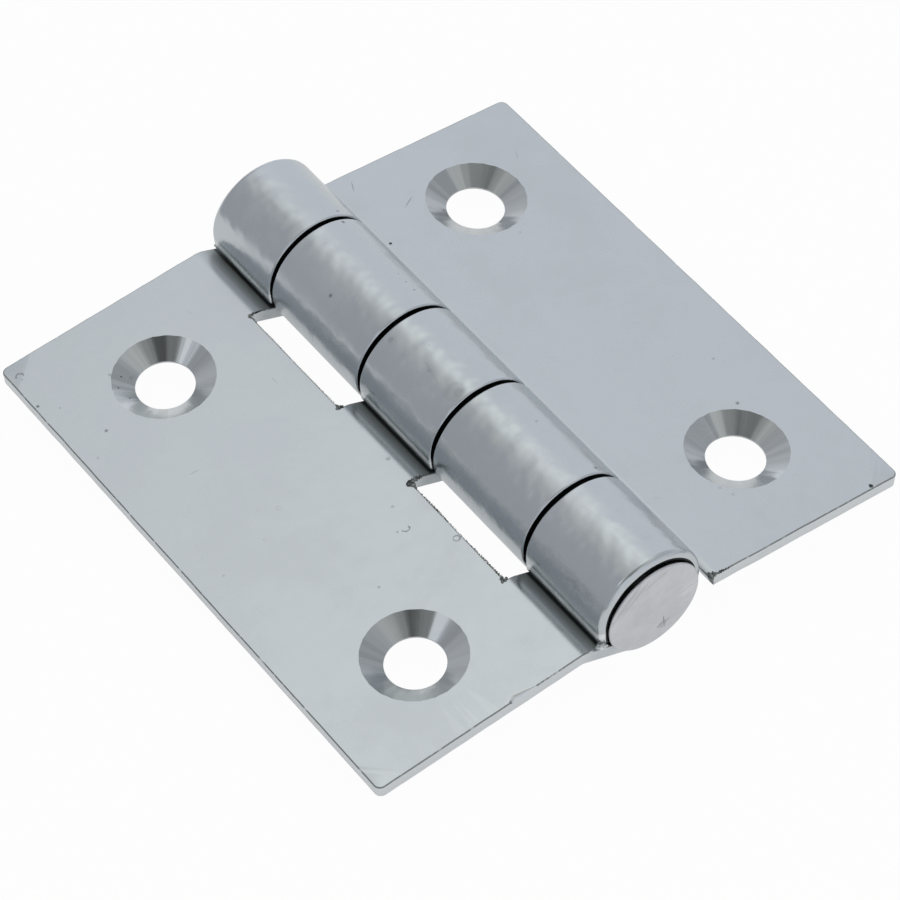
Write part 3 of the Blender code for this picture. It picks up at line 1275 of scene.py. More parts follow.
        scraps = write.add("GeometryNodeInstanceOnPoints", {
            "Points": moved, "Instance": ball.outputs[0], "Rotation": aligned,
            "Scale": shape}).outputs[0]
        real = write.add("GeometryNodeRealizeInstances", {"Geometry": scraps}).outputs[0]
        lumps = write.add("ShaderNodeTexNoise", {"Scale": 9000.0, "Detail": 1.0}).outputs["Color"]
        lumps = write.vector("SUBTRACT", lumps, (0.5, 0.5, 0.5))
        lumps = write.scale(lumps, write.math("MULTIPLY", given["Size"], 0.5))
        torn = write.add("GeometryNodeSetPosition",
                         {"Geometry": real, "Offset": lumps}).outputs[0]
        self.close_tree(write, torn, given["Material"])
        return tree

    @staticmethod
    def close_tree(write: TreeWriter, shape: Socket, material: Socket) -> None:
        """Ends a tree by realizing its instances and setting the material.

        Args:
            write: The tree's writer.
            shape: The geometry so far.
            material: The material's input.
        """
        real = write.add("GeometryNodeRealizeInstances", {"Geometry": shape}).outputs[0]
        dressed = write.add("GeometryNodeSetMaterial",
                            {"Geometry": real, "Material": material}).outputs[0]
        write.add("NodeGroupOutput", {0: dressed})

    def sink_tree(self) -> bpy.types.NodeTree:
        """Builds the tree that turns the faceted wall of one countersink.

        The wall stands on the blank round the origin, open at both ends. Its
        upper rim is a polygon, as chatter of the tool leaves it.

        Returns:
            The tree.
        """
        number = "NodeSocketFloat"
        tree, write, given = new_group(
            "countersink", "GeometryNodeTree",
            {"Sides": ("NodeSocketInt", 72), "Facets": ("NodeSocketInt", 18),
             "Sink Radius": (number, 0.004), "Hole Radius": (number, 0.002),
             "Sheet": (number, 0.001), "Land": (number, 0.0002), "Facet Depth": (number, 1.0),
             "Chatter": (number, 0.0), "Phase": (number, 0.0), "Lean": (number, 0.0),
             "Seed": ("NodeSocketInt", 1), "Material": ("NodeSocketMaterial", None)},
            {"Geometry": "NodeSocketGeometry"})
        ring = write.add("GeometryNodeMeshCircle",
                         {"Vertices": given["Sides"], "Radius": 1.0}).outputs[0]
        index = write.add("GeometryNodeInputIndex").outputs[0]
        angle = write.math("MULTIPLY", write.math("DIVIDE", index, given["Sides"]), math.tau)
        facet = write.math("DIVIDE", math.tau, given["Facets"])
        half = write.math("MULTIPLY", facet, 0.5)
        within = write.math("SUBTRACT", write.math("FLOORED_MODULO", write.math(
            "ADD", angle, given["Phase"]), facet), half)
        polygon = write.math("DIVIDE", write.math("COSINE", half), write.math("COSINE", within))
        polygon = write.math("SUBTRACT", polygon, 1.0)
        polygon = write.math("MULTIPLY_ADD", polygon, given["Facet Depth"], 1.0)
        jitter = write.add("FunctionNodeRandomValue", {2: -1.0, 3: 1.0, "Seed": given["Seed"]})
        jitter = write.math("MULTIPLY", jitter.outputs[1], given["Chatter"])
        rim = write.math("MULTIPLY_ADD", given["Sink Radius"], polygon, jitter)
        place = write.join(write.math("MULTIPLY", write.math("COSINE", angle), rim),
                           write.math("MULTIPLY", write.math("SINE", angle), rim),
                           given["Sheet"])
        shape = write.add("GeometryNodeSetPosition",
                          {"Geometry": ring, "Position": place}).outputs[0]
        selection: Feed = True
        for height in (given["Land"], 0.0):
            wall = write.add("GeometryNodeExtrudeMesh", {
                "Mesh": shape, "Selection": selection, "Offset Scale": 0.0}, mode="EDGES")
            position = write.add("GeometryNodeInputPosition").outputs[0]
            flat = write.vector("MULTIPLY", position, (1.0, 1.0, 0.0))
            around = write.scale(write.vector("NORMALIZE", flat), given["Hole Radius"])
            lift = write.join(0.0, 0.0, height)
            shape = write.add("GeometryNodeSetPosition", {
                "Geometry": wall.outputs["Mesh"], "Selection": wall.outputs["Top"],
                "Position": write.vector("ADD", around, lift)}).outputs[0]
            selection = wall.outputs["Top"]
        x, y, _ = write.split(write.add("GeometryNodeInputPosition").outputs[0])
        facing = write.math("ARCTAN2", y, x)
        bearing = write.math("ADD", facing, given["Phase"])
        number_of = write.math("FLOOR", write.math("DIVIDE", write.math(
            "FLOORED_MODULO", bearing, math.tau), half))
        chance = write.add("FunctionNodeRandomValue", {"ID": number_of, "Seed": given["Seed"]})
        # Painted light and shade: walls at the bearing Lean are lighter and the opposite ones
        # darker, mixed with a random tone for each facet.
        lit_side = write.ramp(write.math("COSINE", write.math("SUBTRACT", facing, given["Lean"])),
                             -0.35, 0.45)
        tone = write.math("MULTIPLY_ADD", chance.outputs[1], 0.3,
                          write.math("MULTIPLY", lit_side, 0.7))
        toned = write.add("GeometryNodeStoreNamedAttribute", {
            "Geometry": shape, "Name": "tone", "Value": tone}, domain="FACE")
        flat_wall = write.add("GeometryNodeSetShadeSmooth",
                              {0: toned.outputs[0], "Shade Smooth": False})
        self.close_tree(write, flat_wall.outputs[0], given["Material"])
        return tree


@dataclass
class RolledLeaf:
    """One leaf of the hinge, drawn as a flat blank and rolled."""

    leaf: Leaf
    name: str
    node: str
    body: str
    reach: float
    droop: float
    notch_clearance: float
    fingers: list[tuple[float, float]]
    holes: tuple[tuple[int, float, float], ...]
    nicks: tuple[tuple[float, float, float], ...]
    finish: ZincFinish
    half_length: float
    axis: Vector
    seed: int
    roll: RollSizes = field(default_factory=RollSizes)
    edge: EdgeSizes = field(default_factory=EdgeSizes)
    sink: SinkSizes = field(default_factory=SinkSizes)
    roll_step: float = 2.0
    bend_step: float = 2.6

    @property
    def outer(self) -> float:
        """The plate's outer edge on the blank.

        Returns:
            The place s.
        """
        return self.roll.on_blank(self.reach)

    @property
    def notch(self) -> float:
        """The notches' straight edge on the blank.

        Returns:
            The place s.
        """
        return self.roll.on_blank(self.roll.outside + self.notch_clearance)

    @property
    def tail(self) -> float:
        """The tail's end on the blank, at the outside of the roll.

        Returns:
            The place s.
        """
        return self.roll.tail_start + self.roll.tail_length(0.0)

    def rungs(self) -> list[float]:
        """Where the blank is divided across, so that it can bend there.

        None lies so near the notches' edge that its rounding would cross it.

        Returns:
            The places s in order.
        """
        roll = self.roll
        bends = round(roll.root_slope / self.bend_step)
        turns = round(roll.roll_turn / self.roll_step)
        places = [roll.bend_length * index / bends for index in range(bends + 1)]
        places += [roll.roll_start + (roll.tail_start - roll.roll_start) * index / turns
                   for index in range(turns + 1)]
        after = self.edge.rung_clearance
        before = self.edge.under_round + after
        return [s for s in places if not self.notch - before < s < self.notch + after]

    def side_places(self, start: float, end: float) -> list[float]:
        """Where a side edge has points, between two places on the blank.

        Args:
            start: The lower place.
            end: The upper place.

        Returns:
            The places from start up to, but without, end.
        """
        step = self.edge.point_step
        plate = spaced(start, 0.0, step) if start < -step else [start]
        rungs = [s for s in self.rungs() if start < s < end]
        return plate + [s for s in rungs if s > plate[-1] + TINY]

    def outline(self) -> list[Point]:
        """The blank's outline, anticlockwise, as places (s, y).

        Returns:
            The points in order.
        """
        half, corner, step = self.half_length, self.edge.corner_round, self.edge.point_step
        trim = self.edge.tail_corner
        start, tip = self.outer + corner, self.tail - trim
        points = arc((start, corner - half), corner, 180, 270, self.edge.corner_steps)[:-1]
        side, across = start, -half
        for near, far in sorted((near, far) for far, near in self.fingers):
            if near > across + TINY:
                if side == start:
                    points += [(s, across) for s in self.side_places(start, self.notch)]
                points += [(self.notch, y) for y in spaced(across, near, step)]
                side = self.notch
            points += [(s, near) for s in self.side_places(side, tip)]
            points += arc((tip, near + trim), trim, -90, 0, self.edge.tail_steps)[:-1]
            points += [(self.tail, y) for y in spaced(near + trim, far - trim, step)]
            points += arc((tip, far - trim), trim, 0, 90, self.edge.tail_steps)
            side = start if far > half - TINY else self.notch
            points += [(s, far) for s in reversed(self.side_places(side, tip)[1:])]
            side, across = self.notch, far
        if across < half - TINY:
            points += [(self.notch, y) for y in spaced(across, half, step)]
            back = self.side_places(start, self.notch)[1:]
            points += [(s, half) for s in reversed([*back, self.notch])]
        points += arc((start, half - corner), corner, 90, 180, self.edge.corner_steps)[:-1]
        points += [(self.outer, y) for y in spaced(half - corner, corner - half, step)]
        return points

    def edge_loops(self) -> tuple[list[list[Vector]], list[tuple[int, int]]]:
        """Draws the rounded edge all round the blank, from upper face to lower.

        Returns:
            The loops of points on the blank, and the pairs of points in a loop
            that a rung joins.
        """
        base = self.outline()
        count = len(base)
        inward = [mitre(base[index - 1], base[index], base[(index + 1) % count])
                  for index in range(count)]
        steps = self.edge.round_steps
        loops: list[list[Vector]] = [[] for _ in range(2 * steps + 2)]
        for (s, y), (in_s, in_y) in zip(base, inward):
            waver = self.edge.waver * (0.5 + noise.noise(
                Vector((s, y, self.seed * MM)) / self.edge.waver_length))
            upper, lower = self.edge_rounds(s, y)
            inner = s > self.roll.roll_start and abs(y) < self.half_length - TINY
            waver += self.edge.gap_inset if inner else 0.0
            profile = [(upper * (1 - math.sin(angle)),
                        self.roll.sheet - upper * (1 - math.cos(angle)))
                       for angle in quarter(steps)]
            profile += [(lower * (1 - math.cos(angle)), lower * (1 - math.sin(angle)))
                        for angle in quarter(steps)]
            for loop, (inset, t) in zip(loops, profile):
                depth = inset + waver
                loop.append(Vector((self.stretched(s + in_s * depth, t),
                                    y + in_y * depth, t)))
        pairs = []
        for rung in self.rungs():
            ends = sorted((y, index) for index, (s, y) in enumerate(base)
                          if abs(s - rung) < TINY)
            pairs += [(ends[index][1], ends[index + 1][1]) for index in range(0, len(ends), 2)]
        return loops, pairs

    def edge_rounds(self, s: float, y: float) -> Point:
        """How round the edges of both faces are, wider at the pin's mouths.

        The upper face of the plate is the inside of the roll.

        Args:
            s: The place along the blank.
            y: The place across it.

        Returns:
            The radii of the roundings at the upper and at the lower face.
        """
        edge = self.edge
        upper = edge.burr_round + self.nick_depth(s, y)
        if abs(y) < self.half_length - TINY:
            return upper, edge.under_round
        share = min(max((s - self.roll.roll_start) / edge.mouth_fade, 0.0), 1.0)
        return (upper + share * (edge.funnel_round - upper),
                edge.under_round + share * (edge.mouth_round - edge.under_round))

    def nick_depth(self, s: float, y: float) -> float:
        """How deep the near edge is nicked.

        Args:
            s: The place along the blank.
            y: The place across it.

        Returns:
            The depth.
        """
        depth = 0.0
        for nick_u, length, most in self.nicks:
            past = (s - self.roll.on_blank(nick_u)) / length
            if y < TINY - self.half_length and 0 <= past < 1:
                depth += most * (1 - past) * min(past / self.edge.nick_ease, 1.0)
        return depth

    def stretched(self, s: float, t: float) -> float:
        """Lengthens the tail towards its inside, so that it ends along the root.

        Args:
            s: The place along the blank, at the outside of the roll.
            t: The place through the sheet.

        Returns:
            The place along the blank at t.
        """
        past = s - self.roll.tail_start
        if past <= 0:
            return s
        return self.roll.tail_start + past * self.roll.tail_length(t) / self.roll.tail_length(0.0)

    def sink_walls(self, press: SheetPress) -> list[bpy.types.Mesh]:
        """Turns the countersinks' walls and puts them in place on the blank.

        Args:
            press: The trees.

        Returns:
            One mesh for each hole.
        """
        walls = []
        for index, (end, from_edge, from_end) in enumerate(self.holes):
            seed = self.seed + index
            lean = self.sink.lean if self.leaf is Leaf.WIDE else 180 - self.sink.lean
            mesh = run_tree(f"countersink_{index}", press.sink, bpy.data.meshes.new("none"), {
                "Sides": self.sink.sides, "Facets": self.sink.facets,
                "Sink Radius": self.sink.sink_radius, "Hole Radius": self.sink.hole_radius,
                "Sheet": self.roll.sheet, "Land": self.sink.land,
                "Facet Depth": self.sink.facet_depth, "Chatter": self.sink.chatter,
                "Phase": self.sink.phases[index] + self.seed, "Lean": math.radians(lean),
                "Seed": seed})
            centre = (self.roll.on_blank(self.reach - from_edge),
                      end * (self.half_length - from_end), 0.0)
            mesh.transform(Matrix.Translation(centre))
            walls.append(mesh)
        return walls

    def flat_blank(self, press: SheetPress) -> bpy.types.Mesh:
        """Builds the closed, flat blank with its rounded edges and holes.

        Args:
            press: The trees.

        Returns:
            The mesh, with the attributes blank and cut.
        """
        loops, pairs = self.edge_loops()
        walls = self.sink_walls(press)
        builder = bmesh.new()
        cut = builder.faces.layers.float.new("cut")
        for mesh in walls:
            builder.from_mesh(mesh)
            bpy.data.meshes.remove(mesh)
        for face in builder.faces:
            face.smooth = False
            face[cut] = SINK_CUT
        rims = self.rims(builder)
        rings = [[builder.verts.new(point) for point in loop] for loop in loops]
        for step, (upper, lower) in enumerate(zip(rings, rings[1:])):
            for index in range(len(upper)):
                face = builder.faces.new([upper[index - 1], upper[index],
                                          lower[index], lower[index - 1]])
                face.smooth = True
                face[cut] = self.wear_and_shade_of(step, (upper[index - 1].co + upper[index].co) / 2)
        for ring, height in ((rings[0], self.roll.sheet), (rings[-1], 0.0)):
            holes = [rim for rim in rims if abs(rim[0].co.z - height) < TINY]
            for corners in filled(ring, pairs, holes):
                builder.faces.new(corners).smooth = True
        bmesh.ops.recalc_face_normals(builder, faces=builder.faces)
        open_edges = sum(1 for edge in builder.edges if not edge.is_manifold)
        if open_edges:
            LOG.warning("%s: %d open edges on the blank", self.name, open_edges)
        blank = builder.verts.layers.float_vector.new("blank")
        for vertex in builder.verts:
            vertex[blank] = vertex.co / MM
        mesh = bpy.data.meshes.new(self.name)
        builder.to_mesh(mesh)
        builder.free()
        return mesh

    def wear_and_shade_of(self, step: int, place: Vector) -> float:
        """What the value cut says of a face at the blank's edge.

        Args:
            step: Which step of the edge's rounding it is, from the upper face.
            place: Where it lies on the blank.

        Returns:
            The value for a burred edge, a bare one, one in painted shade or a smooth one.
        """
        inside, outside = step < self.edge.round_steps, step > self.edge.round_steps
        mouth = self.edge.mouth_round + self.edge.mouth_margin
        near_end = abs(abs(place.y) - self.half_length) < mouth
        # In the roll, edge faces in the knuckle gaps and inside the mouths get painted shade.
        if place.x > self.roll.roll_start:
            in_shade = inside if near_end else not outside
            return SHADE_CUT if in_shade else ROLL_CUT if outside else EDGE_CUT
        nicked = self.nick_depth(place.x, -self.half_length) > 0 and place.y < 0
        return BURR_CUT if inside and not nicked else EDGE_CUT

    @staticmethod
    def rims(builder: bmesh.types.BMesh) -> list[list[bmesh.types.BMVert]]:
        """Finds the open rims of the countersinks' walls, in order round each.

        Args:
            builder: The mesh of the walls alone.

        Returns:
            The rims' corners.
        """
        rims = []
        left = {edge for edge in builder.edges if edge.is_boundary}
        while left:
            edge = next(iter(left))
            left.discard(edge)
            rim = [edge.verts[0], edge.verts[1]]
            while True:
                onward = [other for other in rim[-1].link_edges if other in left]
                if not onward:
                    break
                left.discard(onward[0])
                rim.append(onward[0].other_vert(rim[-1]))
            rims.append(rim[:-1] if rim[-1] is rim[0] else rim)
        return rims

    def seat(self) -> Matrix:
        """How the section, drawn round the origin, is put in place.

        Returns:
            The move from there to the pin's axis.
        """
        side = self.leaf.value
        turn = Matrix.Rotation(math.radians(side * self.droop), 4, "Y")
        return Matrix.Translation(self.axis) @ turn @ Matrix.Diagonal((side, 1, 1, 1))

    def make(self, press: SheetPress, shop: ZincShop) -> bpy.types.Object:
        """Rolls the blank, seats it on the pin's axis and dresses it.

        Args:
            press: The trees.
            shop: The materials.

        Returns:
            The piece.
        """
        roll = self.roll
        rolled = run_tree(self.name, press.roll, self.flat_blank(press), {
            "Sheet": roll.sheet, "Plate Drop": roll.plate_drop,
            "Bend Start": roll.bend_start, "Bend Radius": roll.bend_middle,
            "Bend Turn": math.radians(roll.root_slope), "Root Length": roll.root_length,
            "Roll Radius": roll.roll_middle, "Roll Turn": math.radians(roll.roll_turn),
            "Material": shop.sheet_zinc(self.finish, roll)})
        rolled.transform(self.seat())
        return show_piece(self.name, even_shading(rolled), self.body, "leaf_zinc", self.node)


@dataclass(frozen=True)
class BurrPlace:
    """A corner of the path that burrs follow, and how big they are there."""

    u: float
    y: float
    lift: float
    weight: float


@dataclass
class EdgeBurrs:
    """Torn scraps of zinc that cling along an edge of a leaf."""

    name: str
    leaf: RolledLeaf
    path: list[BurrPlace]
    finish: BurrFinish
    seed: int
    step: float = 0.06 * MM
    size: float = 0.20 * MM
    keep: float = 0.8
    spread: float = 0.6
    stretch: float = 1.0

    def make(self, press: SheetPress, shop: ZincShop) -> bpy.types.Object:
        """Scatters the scraps along the path.

        Args:
            press: The trees.
            shop: The materials.

        Returns:
            The piece.
        """
        seat = self.leaf.seat()
        places = [seat @ Vector((place.u, place.y, place.lift - self.leaf.roll.plate_drop))
                  for place in self.path]
        mesh = bpy.data.meshes.new(self.name)
        mesh.from_pydata(places, [(index, index + 1) for index in range(len(places) - 1)], [])
        weights = mesh.attributes.new("weight", "FLOAT", "POINT")
        for item, place in zip(weights.data, self.path):
            item.value = place.weight
        mesh = run_tree(self.name, press.burrs, mesh, {
            "Step": self.step, "Size": self.size, "Keep": self.keep, "Seed": self.seed,
            "Spread": self.spread, "Stretch": self.stretch,
            "Material": shop.burr_zinc(self.finish)})
        return show_piece(self.name, mesh, self.leaf.body, "leaf_zinc")


def slot_path(leaf: RolledLeaf, far: float, near: float, amount: float) -> list[BurrPlace]:
    """The path of the burrs round a slot's outer corners.

    Args:
        leaf: The leaf that the slot is in.
        far: The slot's far end along Y.
        near: Its near end.
        amount: How strong the burrs along its outer edge are.

    Returns:
        The path, from the far side round to the near side.
    """
    edge = leaf.roll.outside + leaf.notch_clearance
    inner = edge - 1.0 * MM
    low = -0.22 * MM
    torn = 0.15 + amount
    return [BurrPlace(inner, far, low, 0.5 * torn),
            BurrPlace(edge - 0.35 * MM, far, 0.0, 0.9 * torn),
            BurrPlace(edge + 0.1 * MM, far, 0.0, 1.4 * torn),
            BurrPlace(edge, far - 0.5 * MM, 0.0, 0.6 * torn),
            BurrPlace(edge, far - 1.2 * MM, 0.0, 0.18 * amount),
            BurrPlace(edge, (3 * far + near) / 4, 0.0, 0.36 * amount),
            BurrPlace(edge, (far + near) / 2, 0.0, 0.16 * amount),
            BurrPlace(edge, (far + 3 * near) / 4, 0.0, 0.26 * amount),
            BurrPlace(edge, near + 0.5 * MM, 0.0, 0.5 * amount),
            BurrPlace(edge + 0.05 * MM, near, 0.0, 1.2),
            BurrPlace(edge - 0.3 * MM, near, 0.0, 0.6)]


@dataclass
class StakedPin:
    """The pin, whose near end is spread over the end of its knuckle."""

    name: str
    node: str
    body: str
    half_length: float
    axis: Vector
    radius: float = 3.3 * MM
    flare: float = 0.35 * MM
    proud: float = 0.3 * MM
    rim_round: float = 0.18 * MM
    head_radius: float = 4.2 * MM
    head_shift: Point = (0.2 * MM, -0.57 * MM)
    head_root: float = 0.75 * MM
    head_lift: float = 0.15
    head_shares: tuple[float, ...] = (0.3, 0.6, 0.85, 1.0)
    far_steps: int = 4
    near_steps: int = 5
    face_rings: int = 24
    sides: int = 128
    dome: float = 0.06 * MM
    scuff_depth: float = 0.02 * MM
    scuff_reach: float = 1.35 * MM
    scuff_angle: float = 114.0

    def shaft_rings(self) -> list[tuple[float, Point, float]]:
        """The rings of the shaft and both rims, from the far end.

        Returns:
            For each ring its place along Y, its centre (x, z) and its radius.
        """
        half, flare = self.half_length, self.radius + self.flare
        tip = half + self.proud
        middle = (0.0, 0.0)
        rings = []
        for angle in quarter(self.far_steps):
            rings.append((tip - self.rim_round * (1 - math.sin(math.pi / 2 - angle)), middle,
                          flare - self.rim_round * (1 - math.sin(angle))))
        rings += [(half, middle, flare), (half - self.flare, middle, self.radius),
                  (self.head_root - half, middle, self.radius)]
        under = -half - self.proud * self.head_lift
        for share in self.head_shares:
            eased = share * share
            rings.append((self.head_root - half + (under + half - self.head_root) * share,
                          (self.head_shift[0] * eased, self.head_shift[1] * eased),
                          self.radius + (self.head_radius - self.radius) * eased))
        for angle in quarter(self.near_steps):
            rings.append((-tip + self.dome + self.rim_round * (1 - math.sin(angle)),
                          self.head_shift,
                          self.head_radius - self.rim_round * (1 - math.cos(angle))))
        return rings

    def face_depth(self, x: float, z: float) -> float:
        """How far a point of the near face lies behind its flat.

        Args:
            x: The point's place across, from the pin's axis.
            z: Its height from the axis.

        Returns:
            The depth.
        """
        reach = math.hypot(x - self.head_shift[0], z - self.head_shift[1]) / self.head_radius
        depth = self.dome * reach * reach
        angle = math.radians(self.scuff_angle)
        over = x * math.cos(angle) + z * math.sin(angle) - self.scuff_reach
        depth += self.scuff_depth * max(0.0, over) / self.scuff_reach
        return depth

    def make(self, shop: ZincShop) -> bpy.types.Object:
        """Builds the pin and dresses it.

        Args:
            shop: The materials.

        Returns:
            The piece.
        """
        rings = self.shaft_rings()
        flat = -self.half_length - self.proud
        face_radius = self.head_radius - self.rim_round
        rings += [(flat, self.head_shift, face_radius * (1 - index / self.face_rings))
                  for index in range(1, self.face_rings)]
        builder = bmesh.new()
        loops = []
        for place, (centre_x, centre_z), radius in rings:
            loop = []
            for index in range(self.sides):
                angle = math.tau * index / self.sides
                x = centre_x + radius * math.cos(angle)
                z = centre_z + radius * math.sin(angle)
                depth = self.face_depth(x, z) if place == flat else 0.0
                loop.append(builder.verts.new((x, place + depth, z)))
            loops.append(loop)
        for upper, lower in zip(loops, loops[1:]):
            for index in range(self.sides):
                builder.faces.new([upper[index - 1], upper[index],
                                   lower[index], lower[index - 1]])
        builder.faces.new(loops[0])
        builder.faces.new(loops[-1])
        for face in builder.faces:
            face.smooth = True
        mesh = bpy.data.meshes.new(self.name)
        builder.to_mesh(mesh)
        builder.free()
        mesh.transform(Matrix.Translation(self.axis))
        near_face = self.axis - Vector((0.0, self.half_length + self.proud, 0.0))
        mesh.materials.append(shop.pin_zinc(near_face))
        return show_piece(self.name, even_shading(mesh), self.body, "pin_zinc", self.node)


@dataclass(frozen=True)
class SkyPatch:
    """A soft edged patch of the surroundings that the metal reflects."""

    azimuth: float
    elevation: float
    inside: float
    outside: float
    tone: float

    def direction(self) -> tuple[float, float, float]:
        """Where the patch lies, as seen from the hinge.

        Returns:
            The direction.
        """
        turn, rise = math.radians(self.azimuth), math.radians(self.elevation)
        return (math.cos(turn) * math.cos(rise), math.sin(turn) * math.cos(rise),
                math.sin(rise))


@dataclass(frozen=True)
class Studio:
    """The pale floor, the soft surroundings and the camera."""

    axis: Vector
    low_color: Color = (0.765, 0.785, 0.825, 1.0)
    high_color: Color = (1.075, 1.085, 1.06, 1.0)
    rise: Point = (0.72, 0.88)
    patches: tuple[SkyPatch, ...] = (SkyPatch(150.0, 5.0, 57.0, 87.0, 0.58),
                                     SkyPatch(230.0, 65.5, 3.0, 12.0, 0.30),
                                     SkyPatch(228.0, 73.0, 12.0, 33.0, 0.36),
                                     SkyPatch(165.0, 49.5, 5.0, 13.0, 2.2),
                                     SkyPatch(335.0, 43.0, 27.0, 45.0, 0.70))
    floor_radius: float = 0.12
    floor_sides: int = 96
    floor_roughness: float = 0.9
    floor_color: Color = (0.90, 0.90, 0.90, 1.0)
    floor_glow: float = 0.965
    floor_shine: Point = (1.02, 0.10)
    floor_mirrored: float = 0.5
    shadow_x: Point = (0.030, 0.042)
    shadow_y: Point = (0.044, 0.024)
    aim: Point = (-3.09 * MM, -4.38 * MM)
    distance: float = 325.75 * MM
    azimuth: float = -36.42
    elevation: float = 50.35
    roll: float = -0.48
    lens: float = 171.63
    clip: Point = (0.01, 10.0)

    def light(self) -> None:
        """Builds the surroundings as the world, white where the camera looks."""
        world = bpy.data.worlds.new("studio")
        bpy.context.scene.world = world
        world.use_nodes = True
        tree = world.node_tree
        write = TreeWriter(tree)
        direction = write.add("ShaderNodeTexCoord").outputs["Generated"]
        tone: Feed = 1.0
        for patch in self.patches:
            facing = write.add("ShaderNodeVectorMath", {0: direction, 1: patch.direction()},
                               operation="DOT_PRODUCT").outputs["Value"]
            mask = write.ramp(facing, math.cos(math.radians(patch.outside)),
                              math.cos(math.radians(patch.inside)))
            darker = write.math("MULTIPLY_ADD", mask, patch.tone - 1.0, 1.0)
            tone = write.math("MULTIPLY", tone, darker)
        shade = write.add("ShaderNodeCombineColor", {0: tone, 1: tone, 2: tone}).outputs[0]
        height = write.split(direction)[2]
        surround = write.mix(write.ramp(height, *self.rise), self.low_color, self.high_color)
        tinted = write.add("ShaderNodeMix", data_type="RGBA", blend_type="MULTIPLY")
        for index, value in ((0, 1.0), (6, shade), (7, surround)):
            write.feed(tinted.inputs[index], value)
        seen = write.add("ShaderNodeLightPath").outputs["Is Camera Ray"]
        color = write.mix(seen, tinted.outputs[2], (1.0, 1.0, 1.0, 1.0))
        background = tree.nodes["Background"]
        write.feed(background.inputs["Color"], color)
        background.inputs["Strength"].default_value = 1.0

    def lay_floor(self) -> None:
        """Builds the pale floor, which keeps a faint shadow."""
        builder = bmesh.new()
        bmesh.ops.create_circle(builder, cap_ends=True, segments=self.floor_sides,
                                radius=self.floor_radius)
        mesh = bpy.data.meshes.new("floor")
        builder.to_mesh(mesh)
        builder.free()
        material = bpy.data.materials.new("pale_floor")
        material.use_nodes = True
        write = TreeWriter(material.node_tree)
        shader = material.node_tree.nodes["Principled BSDF"]
        shader.inputs["Base Color"].default_value = self.floor_color
        shader.inputs["Roughness"].default_value = self.floor_roughness
        path = write.add("ShaderNodeLightPath").outputs
        place = write.add("ShaderNodeTexCoord").outputs["Object"]
        x, y, _ = write.split(place)
        shadow = write.math("MULTIPLY", write.ramp(write.math("ABSOLUTE", x), *self.shadow_x),
                            write.ramp(y, *self.shadow_y))
        shine = write.math("MULTIPLY_ADD", shadow, self.floor_shine[1] - self.floor_shine[0],
                           self.floor_shine[0])
        seen = write.math("MULTIPLY", write.math(
            "MAXIMUM", path["Is Camera Ray"], path["Is Transmission Ray"]), self.floor_glow)
        strength = write.math("MULTIPLY_ADD", path["Is Glossy Ray"], write.math(
            "SUBTRACT", shine, 1.0), 1.0)
        glow = write.add("ShaderNodeEmission",
                         {"Color": (1.0, 1.0, 1.0, 1.0), "Strength": strength})
        share = write.math("MULTIPLY_ADD", path["Is Glossy Ray"], self.floor_mirrored, seen)
        mixed = write.add("ShaderNodeMixShader", {0: share, 1: shader.outputs[0],
                                                  2: glow.outputs[0]})
        output = material.node_tree.nodes["Material Output"]
        write.feed(output.inputs["Surface"], mixed.outputs[0])
        mesh.materials.append(material)
        floor = bpy.data.objects.new("floor", mesh)
        bpy.context.scene.collection.objects.link(floor)

    def place_camera(self) -> None:
        """Puts the camera at the photograph's viewing angle."""
        data = bpy.data.cameras.new("camera")
        data.lens = self.lens
        data.clip_start, data.clip_end = self.clip
        camera = bpy.data.objects.new("camera", data)
        bpy.context.scene.collection.objects.link(camera)
        turn, rise = math.radians(self.azimuth), math.radians(self.elevation)
        back = Vector((math.sin(turn) * math.cos(rise), -math.cos(turn) * math.cos(rise),
                       math.sin(rise)))
        level = (-back).to_track_quat("-Z", "Y").to_matrix().to_4x4()
        aim = self.axis + Vector((*self.aim, 0.0))
        camera.matrix_world = (Matrix.Translation(aim + back * self.distance) @ level
                               @ Matrix.Rotation(math.radians(self.roll), 4, "Z"))
        bpy.context.scene.camera = camera

    def build(self) -> None:
        """Builds the whole studio."""
        self.light()
        self.lay_floor()
        self.place_camera()
        bpy.context.scene.view_settings.view_transform = "Standard"


def tail_lump_path(roll: RollSizes, y: float) -> list[BurrPlace]:
    """The path of the pinched lump where the near tail meets its root.

    Args:
        roll: The section.
        y: The path's place along the pin.

    Returns:
        The path, from the tail's lip outwards.
    """
    slope = math.radians(roll.root_slope)
    mouth = 3.42 * MM
    path = []
    for u, weight in ((4.05, 0.6), (4.4, 1.0), (4.75, 1.25), (4.95, 0.9)):
        w = (u * MM * math.sin(slope) - mouth) / math.cos(slope)
        path.append(BurrPlace(u * MM, y, w + roll.plate_drop, weight))
    return path


def corner_path() -> list[BurrPlace]:
    """The path of the torn crumbs at the narrow leaf's near inner corner.

    Returns:
        The path, from the pin outwards.
    """
    return [BurrPlace(6.0 * MM, -24.6 * MM, 0.0, 0.7),
            BurrPlace(6.05 * MM, -24.85 * MM, 0.0, 1.3),
            BurrPlace(6.5 * MM, -24.93 * MM, 0.0, 0.6),
            BurrPlace(8.0 * MM, -24.95 * MM, 0.0, 0.3)]


